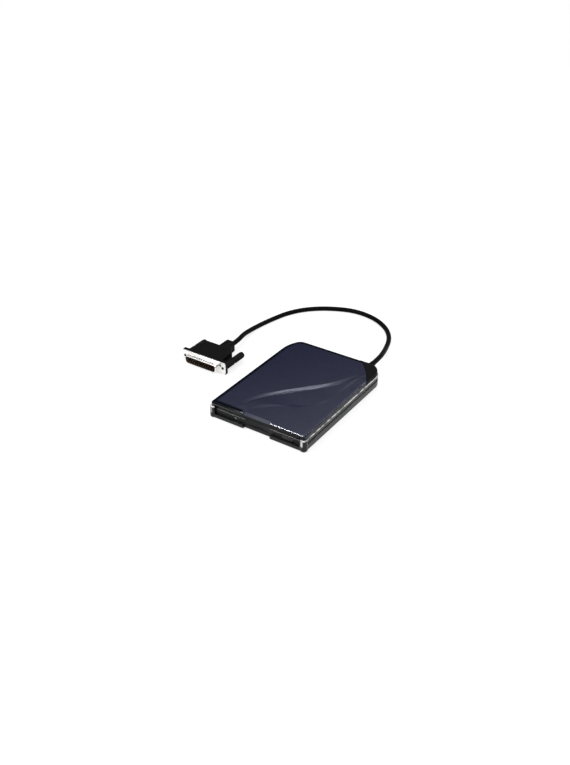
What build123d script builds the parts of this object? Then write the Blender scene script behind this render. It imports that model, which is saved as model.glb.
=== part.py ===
from build123d import *
import os
from math import asin, cos, degrees, hypot, pi, radians, sin, tan

os.makedirs("parts", exist_ok=True)

# A slim external 3.5-inch floppy disk drive with a captive cable and a 25-way plug.
# Millimetres. X runs to the right, Y from the disk slot to the back, Z up from the table.
# The origin is on the table, under the middle of the housing.
# The mechanism is drawn empty: cradle raised, slot door shut, heads at track zero.

# ---------------------------------------------------------------- driving dimensions

# The disk that the drive takes.
disk_width = 90.0
disk_length = 94.0
disk_thickness = 3.3
hub_from_shutter_end = 45.0

# Housing shells.
cable_bay_depth = 13.4
foot_height = 0.6
floor_thickness = 1.9
base_wall = 2.4
cover_wall = 1.6
mechanism_gap = 0.2
mechanism_side_gap = 1.6
parting_height = 12.4
cover_inset = 1.0
front_corner_radius = 3.0
cable_corner_radius = 15.0
sweep_across = 14.0
sweep_along = 24.0
sweep_tip_radius = 10.0
lower_edge_radius = 1.6
upper_edge_radius = 1.8
band_edge_radius = 0.8
groove_bottom = 7.2
groove_height = 1.8
groove_depth = 1.1
lip_thickness = 0.8
lip_depth = 1.4
fit_gap = 0.1

# Front of the housing.
cheek_width = 5.4
cheek_bulge = 0.7
cheek_radius = 3.6
base_lip_top = 4.8
cover_lip_bottom = 14.6
finger_notch_width = 29.6
finger_notch_depth = 3.6
dish_depth = 1.2
scoop_run = 3.0
scoop_edge = 1.0

# Crease moulded into the top cover.
crease_depth = 0.85
crease_slope_width = 5.0

# Feet and screws.
foot_radius = 4.5
foot_pocket = 0.4
screw_radius = 1.0
screw_head_radius = 1.9
screw_head_height = 1.2
boss_radius = 2.6

# Sheet metal of the mechanism.
chassis_gauge = 0.8
holder_gauge = 0.45
slider_gauge = 0.8
shield_gauge = 0.3
disk_side_gap = 0.3
slide_gap = 0.3
chassis_gap = 0.35
shield_gap = 0.25
under_disk_height = 4.7
disk_lift = 2.2
seat_gap = 0.2
holder_height = 4.2
slider_travel = 4.5
bezel_gap = 0.1
bezel_thickness = 2.0
bezel_side = 2.0
disk_setback = 2.5
guide_pin_radius = 0.8
pin_play = 0.1
running_gap = 0.05
bond_gap = 0.02

# Front panel pieces.
door_thickness = 0.9
door_play = 0.2
door_pin_radius = 0.45
door_wire_radius = 0.14
button_width = 12.0
button_height = 3.2
button_x = disk_width / 2 - 13.0
button_proud = 0.5
led_x = 21.0 - disk_width / 2
led_width = 4.0
led_height = 1.6

# Spindle motor.
rotor_radius = 21.0
rotor_gauge = 0.45
magnet_thickness = 2.3
air_gap = 0.5
stator_teeth = 12
shaft_radius = 1.5
hub_table_radius = 12.0
hub_table_thickness = 0.5
centre_pin_radius = 1.99
centre_pin_height = 1.2
drive_pin_radius = 1.0
drive_pin_offset = 10.0
drive_pin_travel = 0.8

# Heads and their drive.
track_zero_radius = 39.5
track_pitch = 0.1875
track_steps = 79
head_length = 3.2
head_width = 5.0
screw_x = 16.0
lead_screw_radius = 1.5
stepper_radius = 4.9
stepper_length = 9.5
rod_x = -12.0
rod_radius = 1.25
arm_gauge = 0.4
arm_pin_radius = 0.5

# Boards and switches.
board_gauge = 0.8
switch_size = 5.0
switch_height = 3.0
plunger_radius = 0.8
plunger_travel = 1.0

# Interface cable and its 25-way plug.
cable_radius = 2.5
relief_inset = 18.5
relief_length = 12.0
relief_neck_radius = 4.0
relief_flange_radius = 5.0
relief_flange_thickness = 1.6
relief_pad = 1.4
cable_exit_height = 9.0
plug_x = -110.3
plug_y = -5.0
plug_height = 14.0
flange_width = 53.04
flange_height = 12.5
flange_gauge = 0.8
shell_width = 38.96
shell_height = 8.36
shell_reach = 5.9
shell_gauge = 0.5
jackscrew_spacing = 47.04
contact_pitch = 2.77
contact_row_gap = 2.84
contact_radius = 0.5
hood_front_width = 40.0
hood_back_width = 37.0
hood_depth = 26.0
hood_ear_depth = 3.5
boss_length = 14.8
boss_width = 10.5
boss_height = 12.4
boss_corner_radius = 2.5
boss_shift = 2.8
thumb_radius = 3.1
thumb_head_length = 28.4
thumb_waist_radius = 2.5
thumb_waist_width = 1.2
thumb_shaft_radius = 1.5

# ---------------------------------------------------------------- heights, bottom up

floor_top = foot_height + floor_thickness
chassis_bottom = floor_top + mechanism_gap
deck = chassis_bottom + chassis_gauge
board_top = deck + board_gauge
loaded_disk_bottom = deck + under_disk_height
raised_disk_bottom = loaded_disk_bottom + disk_lift - seat_gap
media_plane = loaded_disk_bottom + disk_thickness / 2
holder_underside = raised_disk_bottom + holder_height
holder_top = holder_underside + holder_gauge
shield_underside = holder_top + shield_gap
mechanism_top = shield_underside + shield_gauge
cover_underside = mechanism_top + mechanism_gap
drive_height = cover_underside + cover_wall
slot_bottom = raised_disk_bottom - seat_gap
slot_top = holder_underside
groove_top = groove_bottom + groove_height

# ---------------------------------------------------------------- widths, inside out

holder_inner = disk_width / 2 + disk_side_gap
holder_outer = holder_inner + holder_gauge
slider_inner = holder_outer + slide_gap
slider_outer = slider_inner + slider_gauge
chassis_inner = slider_outer + chassis_gap
chassis_outer = chassis_inner + chassis_gauge
base_inner = chassis_outer + mechanism_side_gap
half_width = base_inner + base_wall

# ---------------------------------------------------------------- depths, front to back

head_travel = track_pitch * track_steps
follower_half = 0.6
mechanism_length = (disk_setback + disk_length + 5 * slide_gap + 3 * chassis_gauge + 2 * follower_half
                    + head_travel + stepper_length)
drive_depth = cover_inset + cover_wall + bezel_gap + mechanism_length + cable_bay_depth
front_y = -drive_depth / 2
back_y = drive_depth / 2
bezel_front = front_y + cover_inset + cover_wall + bezel_gap
bezel_back = bezel_front + bezel_thickness
door_height = slot_top - slot_bottom - 2 * door_play
door_pivot_y = bezel_back - door_thickness / 2 - fit_gap
door_pivot_z = slot_top - door_play - door_thickness / 2
holder_front = door_pivot_y + door_height + slide_gap
disk_front = bezel_front + disk_setback
disk_back = disk_front + disk_length
spindle_y = disk_back - hub_from_shutter_end
holder_back = disk_back + slide_gap
track_zero_y = spindle_y + track_zero_radius
web_thickness = 3.0
web_front = holder_back + fit_gap + head_travel
web_back = web_front + web_thickness
bracket_front = holder_back + slide_gap
screw_front = bracket_front + chassis_gauge
follower_y = screw_front + slide_gap + follower_half + head_travel
motor_flange_y = follower_y + follower_half + slide_gap
stepper_back = motor_flange_y + chassis_gauge + stepper_length
mechanism_back = stepper_back + slide_gap + chassis_gauge
chassis_corner_cut = 6.0
wall_back = mechanism_back - chassis_corner_cut
board_front = bezel_back + 2.3
board_back = disk_back - 16.2
board_half = chassis_inner - 2.2
motor_board_half = rotor_radius + 6.0
motor_board_front = spindle_y - rotor_radius - 3.5
motor_board_back = spindle_y + rotor_radius + 2.0
board_clearance = 1.0


# ---------------------------------------------------------------- shared outlines


def housing_outline(inset=0.0, mode=Mode.ADD):
    """Plan of the housing: small front corners, a long swept one at the back left
    and a round one at the back right, all moved in by the inset."""
    flank_radius = ((sweep_along - sweep_tip_radius) ** 2 + sweep_across**2 - sweep_tip_radius**2) / (
        2 * (sweep_across - sweep_tip_radius)
    )
    flank_turn = degrees(asin((sweep_along - sweep_tip_radius) / (flank_radius - sweep_tip_radius)))
    side = half_width - inset
    front = front_y + inset
    corner = max(front_corner_radius - inset, 0.5)
    with BuildLine() as outline:
        left = Line((-side, front + corner), (-side, back_y - sweep_along))
        flank = JernArc(left @ 1, left % 1, flank_radius - inset, -flank_turn)
        tip = JernArc(flank @ 1, flank % 1, sweep_tip_radius - inset, flank_turn - 90)
        rear = Line(tip @ 1, (half_width - cable_corner_radius, back_y - inset))
        round_corner = JernArc(rear @ 1, rear % 1, cable_corner_radius - inset, -90)
        right = Line(round_corner @ 1, (side, front + corner))
        front_right = JernArc(right @ 1, right % 1, corner, -90)
        edge = Line(front_right @ 1, (-side + corner, front))
        JernArc(edge @ 1, edge % 1, corner, -90)
    return make_face(outline.edges(), mode=mode)


def cable_corner_zone(shift=0.0, mode=Mode.ADD):
    """The corner beyond the seam that runs from the back edge round to the right side."""
    outward = Vector(0.8, 0.6) * shift
    with BuildLine() as zone:
        seam = ThreePointArc(
            outward + (half_width - 23.6, back_y - 3.4),
            outward + (half_width - 13.3, back_y - 14.2),
            outward + (half_width - 5.1, back_y - 26.2),
        )
        back_end = Line(seam @ 0 - (seam % 0) * 10, seam @ 0) @ 0
        side_end = Line(seam @ 1, seam @ 1 + (seam % 1) * 14) @ 1
        outer_x = half_width + 10
        Polyline(side_end, (outer_x, side_end.Y), (outer_x, back_end.Y), back_end)
    return make_face(zone.edges(), mode=mode)


def box_on(z_low, z_high, x_low, x_high, y_low, y_high, mode=Mode.ADD):
    """A block between two heights, given by the sides of its plan."""
    with BuildSketch(Plane.XY.offset(z_low)) as plan:
        with Locations(((x_low + x_high) / 2, (y_low + y_high) / 2)):
            Rectangle(x_high - x_low, y_high - y_low)
    extrude(plan.sketch, amount=z_high - z_low, mode=mode)


def post_on(z_low, z_high, radius, points, mode=Mode.ADD):
    """Round posts, or holes, between two heights."""
    with BuildSketch(Plane.XY.offset(z_low)) as plan:
        with Locations(*points):
            Circle(radius)
    extrude(plan.sketch, amount=z_high - z_low, mode=mode)


def save(piece, name):
    """Labels a finished piece and writes it."""
    piece.part.label = name
    export_step(piece.part, f"parts/{name}.step")


# ---------------------------------------------------------------- housing

opening_half = half_width - cheek_width
relief_x = half_width - relief_inset
notch_half = finger_notch_width / 2
foot_x = half_width - 12.0
foot_points = [
    (-foot_x, front_y + 15.0), (foot_x, front_y + 15.0),
    (2.0 - foot_x, back_y - 25.0), (foot_x, back_y - 31.0),
]
mount_x = chassis_inner - 5.2
mount_front = spindle_y - 23.2
mount_back = spindle_y + 46.8
mount_points = [
    (-mount_x, mount_front), (mount_x, mount_front),
    (-mount_x, mount_back), (mount_x, mount_back),
]
cover_screw_point = (-39.5, back_y - 8.7)
corner_screw_point = (half_width - 9.0, back_y - 10.5)
boss_split = 9.0
relief_seat = back_y - base_wall - relief_pad

with BuildPart() as upper_band:
    with BuildSketch(Plane.XY.offset(groove_top)):
        housing_outline()
    extrude(amount=parting_height - groove_top)
    fillet(upper_band.faces().sort_by(Axis.Z)[0].edges(), band_edge_radius)
    fillet(upper_band.faces().sort_by(Axis.Z)[-1].edges(), band_edge_radius)

cheek_x = half_width + cheek_bulge - cheek_radius
cheek_y = front_y - cheek_bulge + cheek_radius
with BuildPart() as cheek_posts:
    post_on(foot_height, parting_height, cheek_radius, [(-cheek_x, cheek_y), (cheek_x, cheek_y)])
    fillet(cheek_posts.faces().filter_by(Axis.Z).group_by(Axis.Z)[-1].edges(), band_edge_radius)
    fillet(cheek_posts.faces().filter_by(Axis.Z).group_by(Axis.Z)[0].edges(), lower_edge_radius)

with BuildPart() as base_housing:
    with BuildSketch(Plane.XY.offset(foot_height)):
        housing_outline()
    extrude(amount=groove_bottom - foot_height)
    fillet(base_housing.faces().sort_by(Axis.Z)[0].edges(), lower_edge_radius)
    fillet(base_housing.faces().sort_by(Axis.Z)[-1].edges(), band_edge_radius)
    with BuildSketch(Plane.XY.offset(groove_bottom)):
        housing_outline(groove_depth)
    extrude(amount=groove_height)
    add(upper_band.part)
    add(cheek_posts.part)
    with BuildSketch(Plane.XY.offset(floor_top)):
        housing_outline(base_wall)
    extrude(amount=parting_height - floor_top + 1, mode=Mode.SUBTRACT)
    # The mouth of the housing, between the cheeks, and the notch for a finger in its lip.
    box_on(base_lip_top, parting_height + 1, -opening_half, opening_half, front_y - 1,
           front_y + base_wall + 1, mode=Mode.SUBTRACT)
    box_on(foot_height - 1, parting_height, -notch_half, notch_half, front_y - 1,
           front_y + finger_notch_depth, mode=Mode.SUBTRACT)
    # Bosses that take the screws of the cover and of the corner cap.
    post_on(floor_top, boss_split, boss_radius, [cover_screw_point, corner_screw_point])
    post_on(foot_height, boss_split, screw_radius + fit_gap,
            [cover_screw_point, corner_screw_point], mode=Mode.SUBTRACT)
    post_on(foot_height, foot_height + screw_head_height, screw_head_radius + fit_gap,
            [cover_screw_point, corner_screw_point] + mount_points, mode=Mode.SUBTRACT)
    post_on(foot_height, floor_top, screw_radius + fit_gap, mount_points, mode=Mode.SUBTRACT)
    # Pockets for the feet.
    post_on(foot_height, foot_height + foot_pocket, foot_radius, foot_points, mode=Mode.SUBTRACT)
    # A flat pad inside the back wall seats the flange of the strain relief.
    box_on(floor_top, parting_height, relief_x - relief_flange_radius, relief_x + relief_flange_radius,
           relief_seat, relief_seat + relief_pad + 0.5)
    # The lower half of the cable outlet, open to the parting line.
    with BuildSketch(Plane.XZ.offset(-back_y - 1)):
        with Locations((relief_x, cable_exit_height)):
            Circle(relief_neck_radius)
        with Locations((relief_x, (cable_exit_height + parting_height + 1) / 2)):
            Rectangle(2 * relief_neck_radius, parting_height + 1 - cable_exit_height)
    extrude(amount=base_wall + relief_pad + 2, mode=Mode.SUBTRACT)
save(base_housing, "base_housing")

crease_points = [(-26.5, -55.0), (-11.4, -24.6), (4.2, -6.0), (19.4, 11.8), (36.5, 45.0)]
crease_reach = [14.0, 26.0, 32.0, 22.0, 7.0]
crease_share = [0.06, 0.7, 1.0, 0.8, 0.06]

with BuildPart() as top_cover:
    with BuildSketch(Plane.XY.offset(parting_height)):
        housing_outline(cover_inset)
    extrude(amount=drive_height - parting_height)
    fillet(top_cover.faces().sort_by(Axis.Z)[-1].edges(), upper_edge_radius)
    with BuildSketch(Plane.XY.offset(parting_height)):
        housing_outline(cover_inset + cover_wall)
    extrude(amount=cover_underside - parting_height, mode=Mode.SUBTRACT)
    # A lip inside the walls of the base keeps the two shells in line.
    with BuildSketch(Plane.XY.offset(parting_height - lip_depth)):
        housing_outline(base_wall + fit_gap)
        housing_outline(base_wall + fit_gap + lip_thickness, mode=Mode.SUBTRACT)
        with Locations((0, front_y)):
            Rectangle(2 * half_width, 2 * (base_wall + bezel_thickness + 3), mode=Mode.SUBTRACT)
    extrude(amount=lip_depth + cover_wall)
    # The mouth above the bezel, and the ramp that a finger slides down.
    box_on(parting_height - lip_depth - 1, cover_lip_bottom, -opening_half, opening_half,
           front_y - 1, front_y + base_wall + lip_thickness + 1, mode=Mode.SUBTRACT)
    with BuildSketch(Plane.YZ.offset(-notch_half)):
        with BuildLine():
            cover_front = front_y + cover_inset
            Polyline(
                (cover_front - 1, cover_lip_bottom + scoop_edge),
                (cover_front, cover_lip_bottom + scoop_edge),
                (cover_front + scoop_run, drive_height),
                (cover_front + scoop_run, drive_height + 1),
                (cover_front - 1, drive_height + 1),
                close=True,
            )
        make_face()
    extrude(amount=finger_notch_width, mode=Mode.SUBTRACT)
    # The corner that the cable cap fills.
    with BuildSketch(Plane.XY.offset(parting_height - lip_depth - 1)):
        cable_corner_zone()
    extrude(amount=drive_height, mode=Mode.SUBTRACT)
    # The boss for the cover screw.
    post_on(boss_split, cover_underside, boss_radius, [cover_screw_point])
    post_on(boss_split, cover_underside - 0.8, screw_radius + bond_gap, [cover_screw_point],
            mode=Mode.SUBTRACT)
    # The crease: a soft step that drops to its right and fades out at both ends.
    for i, point in enumerate(crease_points):
        before = Vector(*crease_points[max(i - 1, 0)])
        after = Vector(*crease_points[min(i + 1, len(crease_points) - 1)])
        along = (after - before).normalized()
        left = Vector(-along.Y, along.X, 0)
        with BuildSketch(Plane(origin=(*point, drive_height), x_dir=left, z_dir=along)):
            drop = crease_depth * crease_share[i]
            with BuildLine():
                Polyline(
                    (0, fit_gap), (0, 0), (-crease_slope_width, -drop),
                    (-crease_reach[i], 0), (-crease_reach[i], fit_gap), close=True,
                )
            make_face()
    loft(mode=Mode.SUBTRACT)
save(top_cover, "top_cover")

with BuildPart() as cable_corner:
    with BuildSketch(Plane.XY.offset(parting_height)):
        housing_outline(cover_inset)
        cable_corner_zone(fit_gap, mode=Mode.INTERSECT)
    extrude(amount=drive_height - parting_height - fit_gap)
    fillet(cable_corner.faces().sort_by(Axis.Z)[-1].edges(), 0.9)
    with BuildSketch(Plane.XY.offset(parting_height)):
        housing_outline(cover_inset + cover_wall)
    extrude(amount=cover_underside - parting_height, mode=Mode.SUBTRACT)
    post_on(boss_split, cover_underside, boss_radius, [corner_screw_point])
    post_on(boss_split, cover_underside - 0.8, screw_radius + bond_gap, [corner_screw_point],
            mode=Mode.SUBTRACT)
    with BuildSketch(Plane.XZ.offset(-back_y - 1)):
        with Locations((relief_x, cable_exit_height)):
            Circle(relief_neck_radius)
    extrude(amount=base_wall + 2, mode=Mode.SUBTRACT)
save(cable_corner, "cable_corner")

with BuildPart() as rubber_feet:
    post_on(0, foot_height + foot_pocket, foot_radius, foot_points)
    fillet(rubber_feet.faces().filter_by(Axis.Z).group_by(Axis.Z)[0].edges(), 0.5)
save(rubber_feet, "rubber_feet")


def pan_screws(points, head_bottom, length):
    """Cross-head screws seen from below, heads down, on a list of points."""
    post_on(head_bottom, head_bottom + screw_head_height, screw_head_radius, points)
    post_on(head_bottom + screw_head_height, head_bottom + length, screw_radius, points)
    with BuildSketch(Plane.XY.offset(head_bottom)) as cross:
        with Locations(*points):
            Rectangle(2.0, 0.5)
            Rectangle(0.5, 2.0)
    extrude(cross.sketch, amount=0.6, mode=Mode.SUBTRACT)


with BuildPart() as cover_screws:
    pan_screws([cover_screw_point, corner_screw_point], foot_height, boss_split + 3.0 - foot_height)
save(cover_screws, "cover_screws")

screw_boss_top = deck + 0.9
with BuildPart() as mechanism_screws:
    pan_screws(mount_points, foot_height, screw_boss_top - foot_height)
save(mechanism_screws, "mechanism_screws")

# ---------------------------------------------------------------- front panel

bezel_half = chassis_outer - seat_gap * 2
slot_half = bezel_half - bezel_side
button_bottom = base_lip_top + slide_gap
button_middle = button_bottom + button_height / 2
door_half = slot_half - slide_gap
spring_room = 2.0
door_coil_radius = door_pin_radius + door_wire_radius + fit_gap

with BuildPart() as front_bezel:
    box_on(chassis_bottom, mechanism_top, -bezel_half, bezel_half, bezel_front, bezel_back)
    box_on(slot_bottom, slot_top, -slot_half, slot_half, bezel_front - 1, bezel_back + 1,
           mode=Mode.SUBTRACT)
    # Lead-in along the lower edge of the slot.
    sill = front_bezel.edges().filter_by(Axis.X)
    sill = sill.filter_by_position(Axis.Z, slot_bottom - 0.01, slot_bottom + 0.01)
    chamfer(sill.sort_by(Axis.Y)[0], 0.4)
    box_on(button_bottom - slide_gap, button_bottom + button_height + slide_gap,
           button_x - button_width / 2 - slide_gap, button_x + button_width / 2 + slide_gap,
           bezel_front - 1, bezel_back + 1, mode=Mode.SUBTRACT)
    box_on(button_middle - led_height / 2, button_middle + led_height / 2,
           led_x - led_width / 2, led_x + led_width / 2,
           bezel_front - 1, bezel_back + 1, mode=Mode.SUBTRACT)
    # A shallow dish in the middle gives room to grip the disk.
    with BuildSketch(Plane.XY.offset(base_lip_top)):
        with BuildLine():
            dish = ThreePointArc((-notch_half, bezel_front), (0, bezel_front + dish_depth),
                                 (notch_half, bezel_front))
            Line(dish @ 1, dish @ 0)
        make_face()
    extrude(amount=slot_bottom - base_lip_top, mode=Mode.SUBTRACT)
    # Sockets for the pins of the door.
    with BuildSketch(Plane.YZ.offset(-bezel_half + 0.8)):
        with Locations((door_pivot_y, door_pivot_z)):
            Circle(door_pin_radius + running_gap)
    extrude(amount=2 * bezel_half - 1.6, mode=Mode.SUBTRACT)
    # Pocket for the spring of the door.
    with BuildSketch(Plane.YZ.offset(door_half - spring_room)):
        with Locations((door_pivot_y, door_pivot_z)):
            Circle(door_coil_radius + door_wire_radius + fit_gap)
    extrude(amount=spring_room, mode=Mode.SUBTRACT)
save(front_bezel, "front_bezel")

with BuildPart() as led_window:
    box_on(button_middle - led_height / 2, button_middle + led_height / 2,
           led_x - led_width / 2, led_x + led_width / 2, bezel_front - 0.2, bezel_back + 3)
    chamfer(led_window.faces().sort_by(Axis.Y)[0].edges(), 0.2)
save(led_window, "led_window")

with BuildPart() as slot_door:
    box_on(door_pivot_z + door_thickness / 2 - door_height, door_pivot_z + door_thickness / 2,
           -door_half, door_half - spring_room,
           door_pivot_y - door_thickness / 2, door_pivot_y + door_thickness / 2)
    fillet(slot_door.edges().filter_by(Axis.X).group_by(Axis.Z)[-1], 0.4)
    with BuildSketch(Plane.YZ.offset(-bezel_half + 1.2)):
        with Locations((door_pivot_y, door_pivot_z)):
            Circle(door_pin_radius)
    extrude(amount=2 * bezel_half - 2.4)
    # A step along the lower edge stiffens the flap.
    door_edge = door_pivot_z + door_thickness / 2 - door_height
    box_on(door_edge, door_edge + 0.6, -door_half, door_half - spring_room,
           door_pivot_y - door_thickness / 2 - 0.2, door_pivot_y, mode=Mode.ADD)
save(slot_door, "slot_door")


def coil_spring(start, axis_direction, coil_radius, wire_radius, length, turns):
    """A helical spring from a start point along a direction."""
    plane = Plane(origin=start, z_dir=axis_direction)
    coil = Helix(pitch=length / turns, height=length, radius=coil_radius, center=plane.origin,
                 direction=plane.z_dir)
    with BuildPart() as spring:
        with BuildSketch(Plane(origin=coil @ 0, z_dir=coil % 0)):
            RegularPolygon(wire_radius, 6)
        sweep(path=coil, is_frenet=True)
    return spring.part


with BuildPart() as door_spring:
    add(coil_spring((door_half - spring_room + 0.3, door_pivot_y, door_pivot_z), (1, 0, 0),
                    door_coil_radius, door_wire_radius, spring_room - 0.6, 3))
save(door_spring, "door_spring")

# ---------------------------------------------------------------- eject button, slider and cradle

pin_z = raised_disk_bottom + holder_height / 2
pin_points = [disk_front + 17.8, disk_back - 8.2]
slider_front = holder_front + 1.0
slider_back = disk_back + 6.0
slider_top = pin_z + 2.2
slider_bottom = pin_z - disk_lift - 2.2
cross_back = spindle_y - rotor_radius - 5.2
cross_front = (disk_front + cross_back) / 2 + 1.4
cross_slot = (cross_back - cross_front) / 2
cross_bottom = loaded_disk_bottom - 2.0
stem_width = 4.4
spring_x = holder_inner - 1.6
spring_z = deck + 2.3
spring_back = slider_back - 2.0
spring_front = spring_back - 18.0
spring_radius = 1.0
spring_wire = 0.22

with BuildPart() as eject_button:
    box_on(button_bottom, button_bottom + button_height, button_x - button_width / 2,
           button_x + button_width / 2, bezel_front - button_proud, bezel_back + 0.6)
    fillet(eject_button.faces().sort_by(Axis.Y)[0].edges(), 0.4)
    box_on(cross_bottom + slider_gauge, loaded_disk_bottom - 0.2, button_x - stem_width / 2,
           button_x + stem_width / 2, bezel_back, cross_front + 2)
    post_on(cross_bottom - 0.4, cross_bottom + slider_gauge, 1.5, [(button_x, cross_front - 2.5)])
save(eject_button, "eject_button")

with BuildPart() as eject_slider:
    for side in (-1, 1):
        x_low, x_high = sorted((side * slider_inner, side * slider_outer))
        box_on(slider_bottom, slider_top, x_low, x_high, slider_front, slider_back)
        box_on(cross_bottom, slider_bottom + 1, x_low, x_high, cross_front, cross_back)
        box_on(spring_z - 1.0, slider_bottom + 1, x_low, x_high, spring_back - 2, slider_back)
        # The tab that the eject spring pulls on.
        x_low, x_high = sorted((side * (spring_x - 1), side * (slider_inner + 0.1)))
        box_on(spring_z - 1.0, spring_z + 1.0, x_low, x_high, spring_back, spring_back + slider_gauge)
    box_on(cross_bottom, cross_bottom + slider_gauge, -slider_outer, slider_outer, cross_front, cross_back)
    box_on(cross_bottom, cross_bottom + slider_gauge, button_x - stem_width / 2, button_x + stem_width / 2,
           cross_front - 5, cross_front)
    post_on(cross_bottom, cross_bottom + slider_gauge, 1.5, [(button_x, cross_front - 2.5)],
            mode=Mode.SUBTRACT)
    # Cam slots that lower the cradle as the slider comes forward.
    cam_length = hypot(slider_travel, disk_lift)
    cam_angle = degrees(asin(disk_lift / cam_length))
    with BuildSketch(Plane.YZ.offset(-slider_outer - 1)):
        for y in pin_points:
            with Locations((y + slider_travel / 2, pin_z - disk_lift / 2)):
                SlotCenterToCenter(cam_length, 2 * (guide_pin_radius + pin_play), rotation=-cam_angle)
    extrude(amount=2 * slider_outer + 2, mode=Mode.SUBTRACT)
    # The cross member has a round window over the board.
    with BuildSketch(Plane.XY.offset(cross_bottom)):
        with Locations((-22, (cross_front + cross_back) / 2), (10, (cross_front + cross_back) / 2)):
            SlotOverall(18, cross_slot)
    extrude(amount=slider_gauge, mode=Mode.SUBTRACT)
save(eject_slider, "eject_slider")

with BuildPart() as eject_springs:
    for side in (-1, 1):
        coil_front = spring_front + slider_travel + 1.0
        add(coil_spring((side * spring_x, coil_front, spring_z), (0, 1, 0), spring_radius, spring_wire,
                        spring_back - coil_front - 0.3, 6))
        # The long hook slides through the tab of the tray as the spring pulls in.
        with BuildSketch(Plane.XZ.offset(-spring_front + chassis_gauge + 0.8)) as hook:
            with Locations((side * spring_x + spring_radius, spring_z)):
                Circle(spring_wire)
        extrude(hook.sketch, amount=-(coil_front - spring_front + chassis_gauge + 0.8 + 0.1))
        with BuildSketch(Plane.XZ.offset(-spring_front + chassis_gauge + 0.8)) as bead:
            with Locations((side * spring_x + spring_radius, spring_z)):
                Circle(2.5 * spring_wire)
        extrude(bead.sketch, amount=-0.5)
save(eject_springs, "eject_springs")

rail_width = 6.0
rail_front = disk_front + 11.8
tongue_x = disk_width / 2 - 15.0
tongue_length = 26.0
tongue_half = 3.4
tongue_slot = 0.8
tongue_y = spindle_y - 8.2
arm_notch_half = 9.0
arm_notch_front = track_zero_y - head_travel - 4.5

with BuildPart() as disk_holder:
    box_on(raised_disk_bottom - holder_gauge, holder_top, -holder_outer, holder_outer,
           holder_front, holder_back)
    box_on(raised_disk_bottom, holder_underside, -holder_inner, holder_inner, holder_front - 1,
           holder_back + 1, mode=Mode.SUBTRACT)
    box_on(raised_disk_bottom - holder_gauge - 1, raised_disk_bottom, -holder_inner + rail_width,
           holder_inner - rail_width, holder_front - 1, holder_back + 1, mode=Mode.SUBTRACT)
    box_on(raised_disk_bottom - holder_gauge - 1, raised_disk_bottom, -holder_inner, holder_inner,
           holder_front - 1, rail_front, mode=Mode.SUBTRACT)
    # The notch that the head arm drops through.
    box_on(holder_underside - 1, holder_top + 1, -arm_notch_half, arm_notch_half, arm_notch_front,
           holder_back + 1, mode=Mode.SUBTRACT)
    # Slots round the two leaf tongues that press on the disk.
    with BuildSketch(Plane.XY.offset(holder_underside)):
        for x in (-tongue_x, tongue_x):
            for edge in (-tongue_half, tongue_half):
                with Locations((x + edge, tongue_y)):
                    SlotOverall(tongue_length, tongue_slot, rotation=90)
            with Locations((x, tongue_y + tongue_length / 2 - tongue_slot / 2)):
                Rectangle(2 * tongue_half + tongue_slot, tongue_slot)
        with Locations((0, spindle_y)):
            Circle(hub_table_radius + 3)
    extrude(amount=holder_gauge, mode=Mode.SUBTRACT)
    # Four pins ride in the cam slots of the slider and the upright slots of the tray.
    for side in (-1, 1):
        with BuildSketch(Plane.YZ.offset(side * holder_outer)):
            with Locations(*[(y, pin_z) for y in pin_points]):
                Circle(guide_pin_radius)
        extrude(amount=side * (chassis_outer - holder_outer - fit_gap))
save(disk_holder, "disk_holder")

# ---------------------------------------------------------------- shutter lever

lever_x = 9.2 - chassis_inner
lever_y = disk_back + 8.0
lever_reach = 27.0
lever_rest_angle = -75.0
lever_hub_radius = 3.4
lever_tip_radius = 1.6
lever_bottom = raised_disk_bottom + 0.4
lever_gauge = 0.8
lever_post_radius = 1.5
lever_tip = (
    lever_x + lever_reach * cos(radians(lever_rest_angle)),
    lever_y + lever_reach * sin(radians(lever_rest_angle)),
)

with BuildPart() as shutter_lever:
    with BuildSketch(Plane.XY.offset(lever_bottom)):
        with Locations((lever_x, lever_y)):
            Circle(lever_hub_radius)
        with Locations(lever_tip):
            Circle(lever_tip_radius)
        make_hull()
        with Locations((lever_x, lever_y)):
            Circle(lever_post_radius + running_gap, mode=Mode.SUBTRACT)
    extrude(amount=lever_gauge)
    # The peg at the tip that pushes the shutter of the disk open.
    post_on(lever_bottom + lever_gauge, lever_bottom + lever_gauge + 0.6, 0.9, [lever_tip])
save(shutter_lever, "shutter_lever")

with BuildPart() as lever_spring:
    add(coil_spring((lever_x, lever_y, lever_bottom - 1.9), (0, 0, 1), lever_post_radius + 0.5, 0.2, 1.5, 3))
save(lever_spring, "lever_spring")

# ---------------------------------------------------------------- chassis

disk_post_x = disk_width / 2 - 8.8
disk_posts = [
    (-disk_post_x, disk_front + 4.8), (disk_post_x, disk_front + 4.8),
    (-disk_post_x, disk_back - 10.2), (disk_post_x, disk_back - 10.2),
]
shield_screw_y = wall_back - 6.1
shield_tab_half = 3.5
shield_screw_points = [(2 - chassis_inner, shield_screw_y), (chassis_inner - 2, shield_screw_y)]
ribbon_x = 11.0 - disk_width / 2
ribbon_width = 9.0

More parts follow.
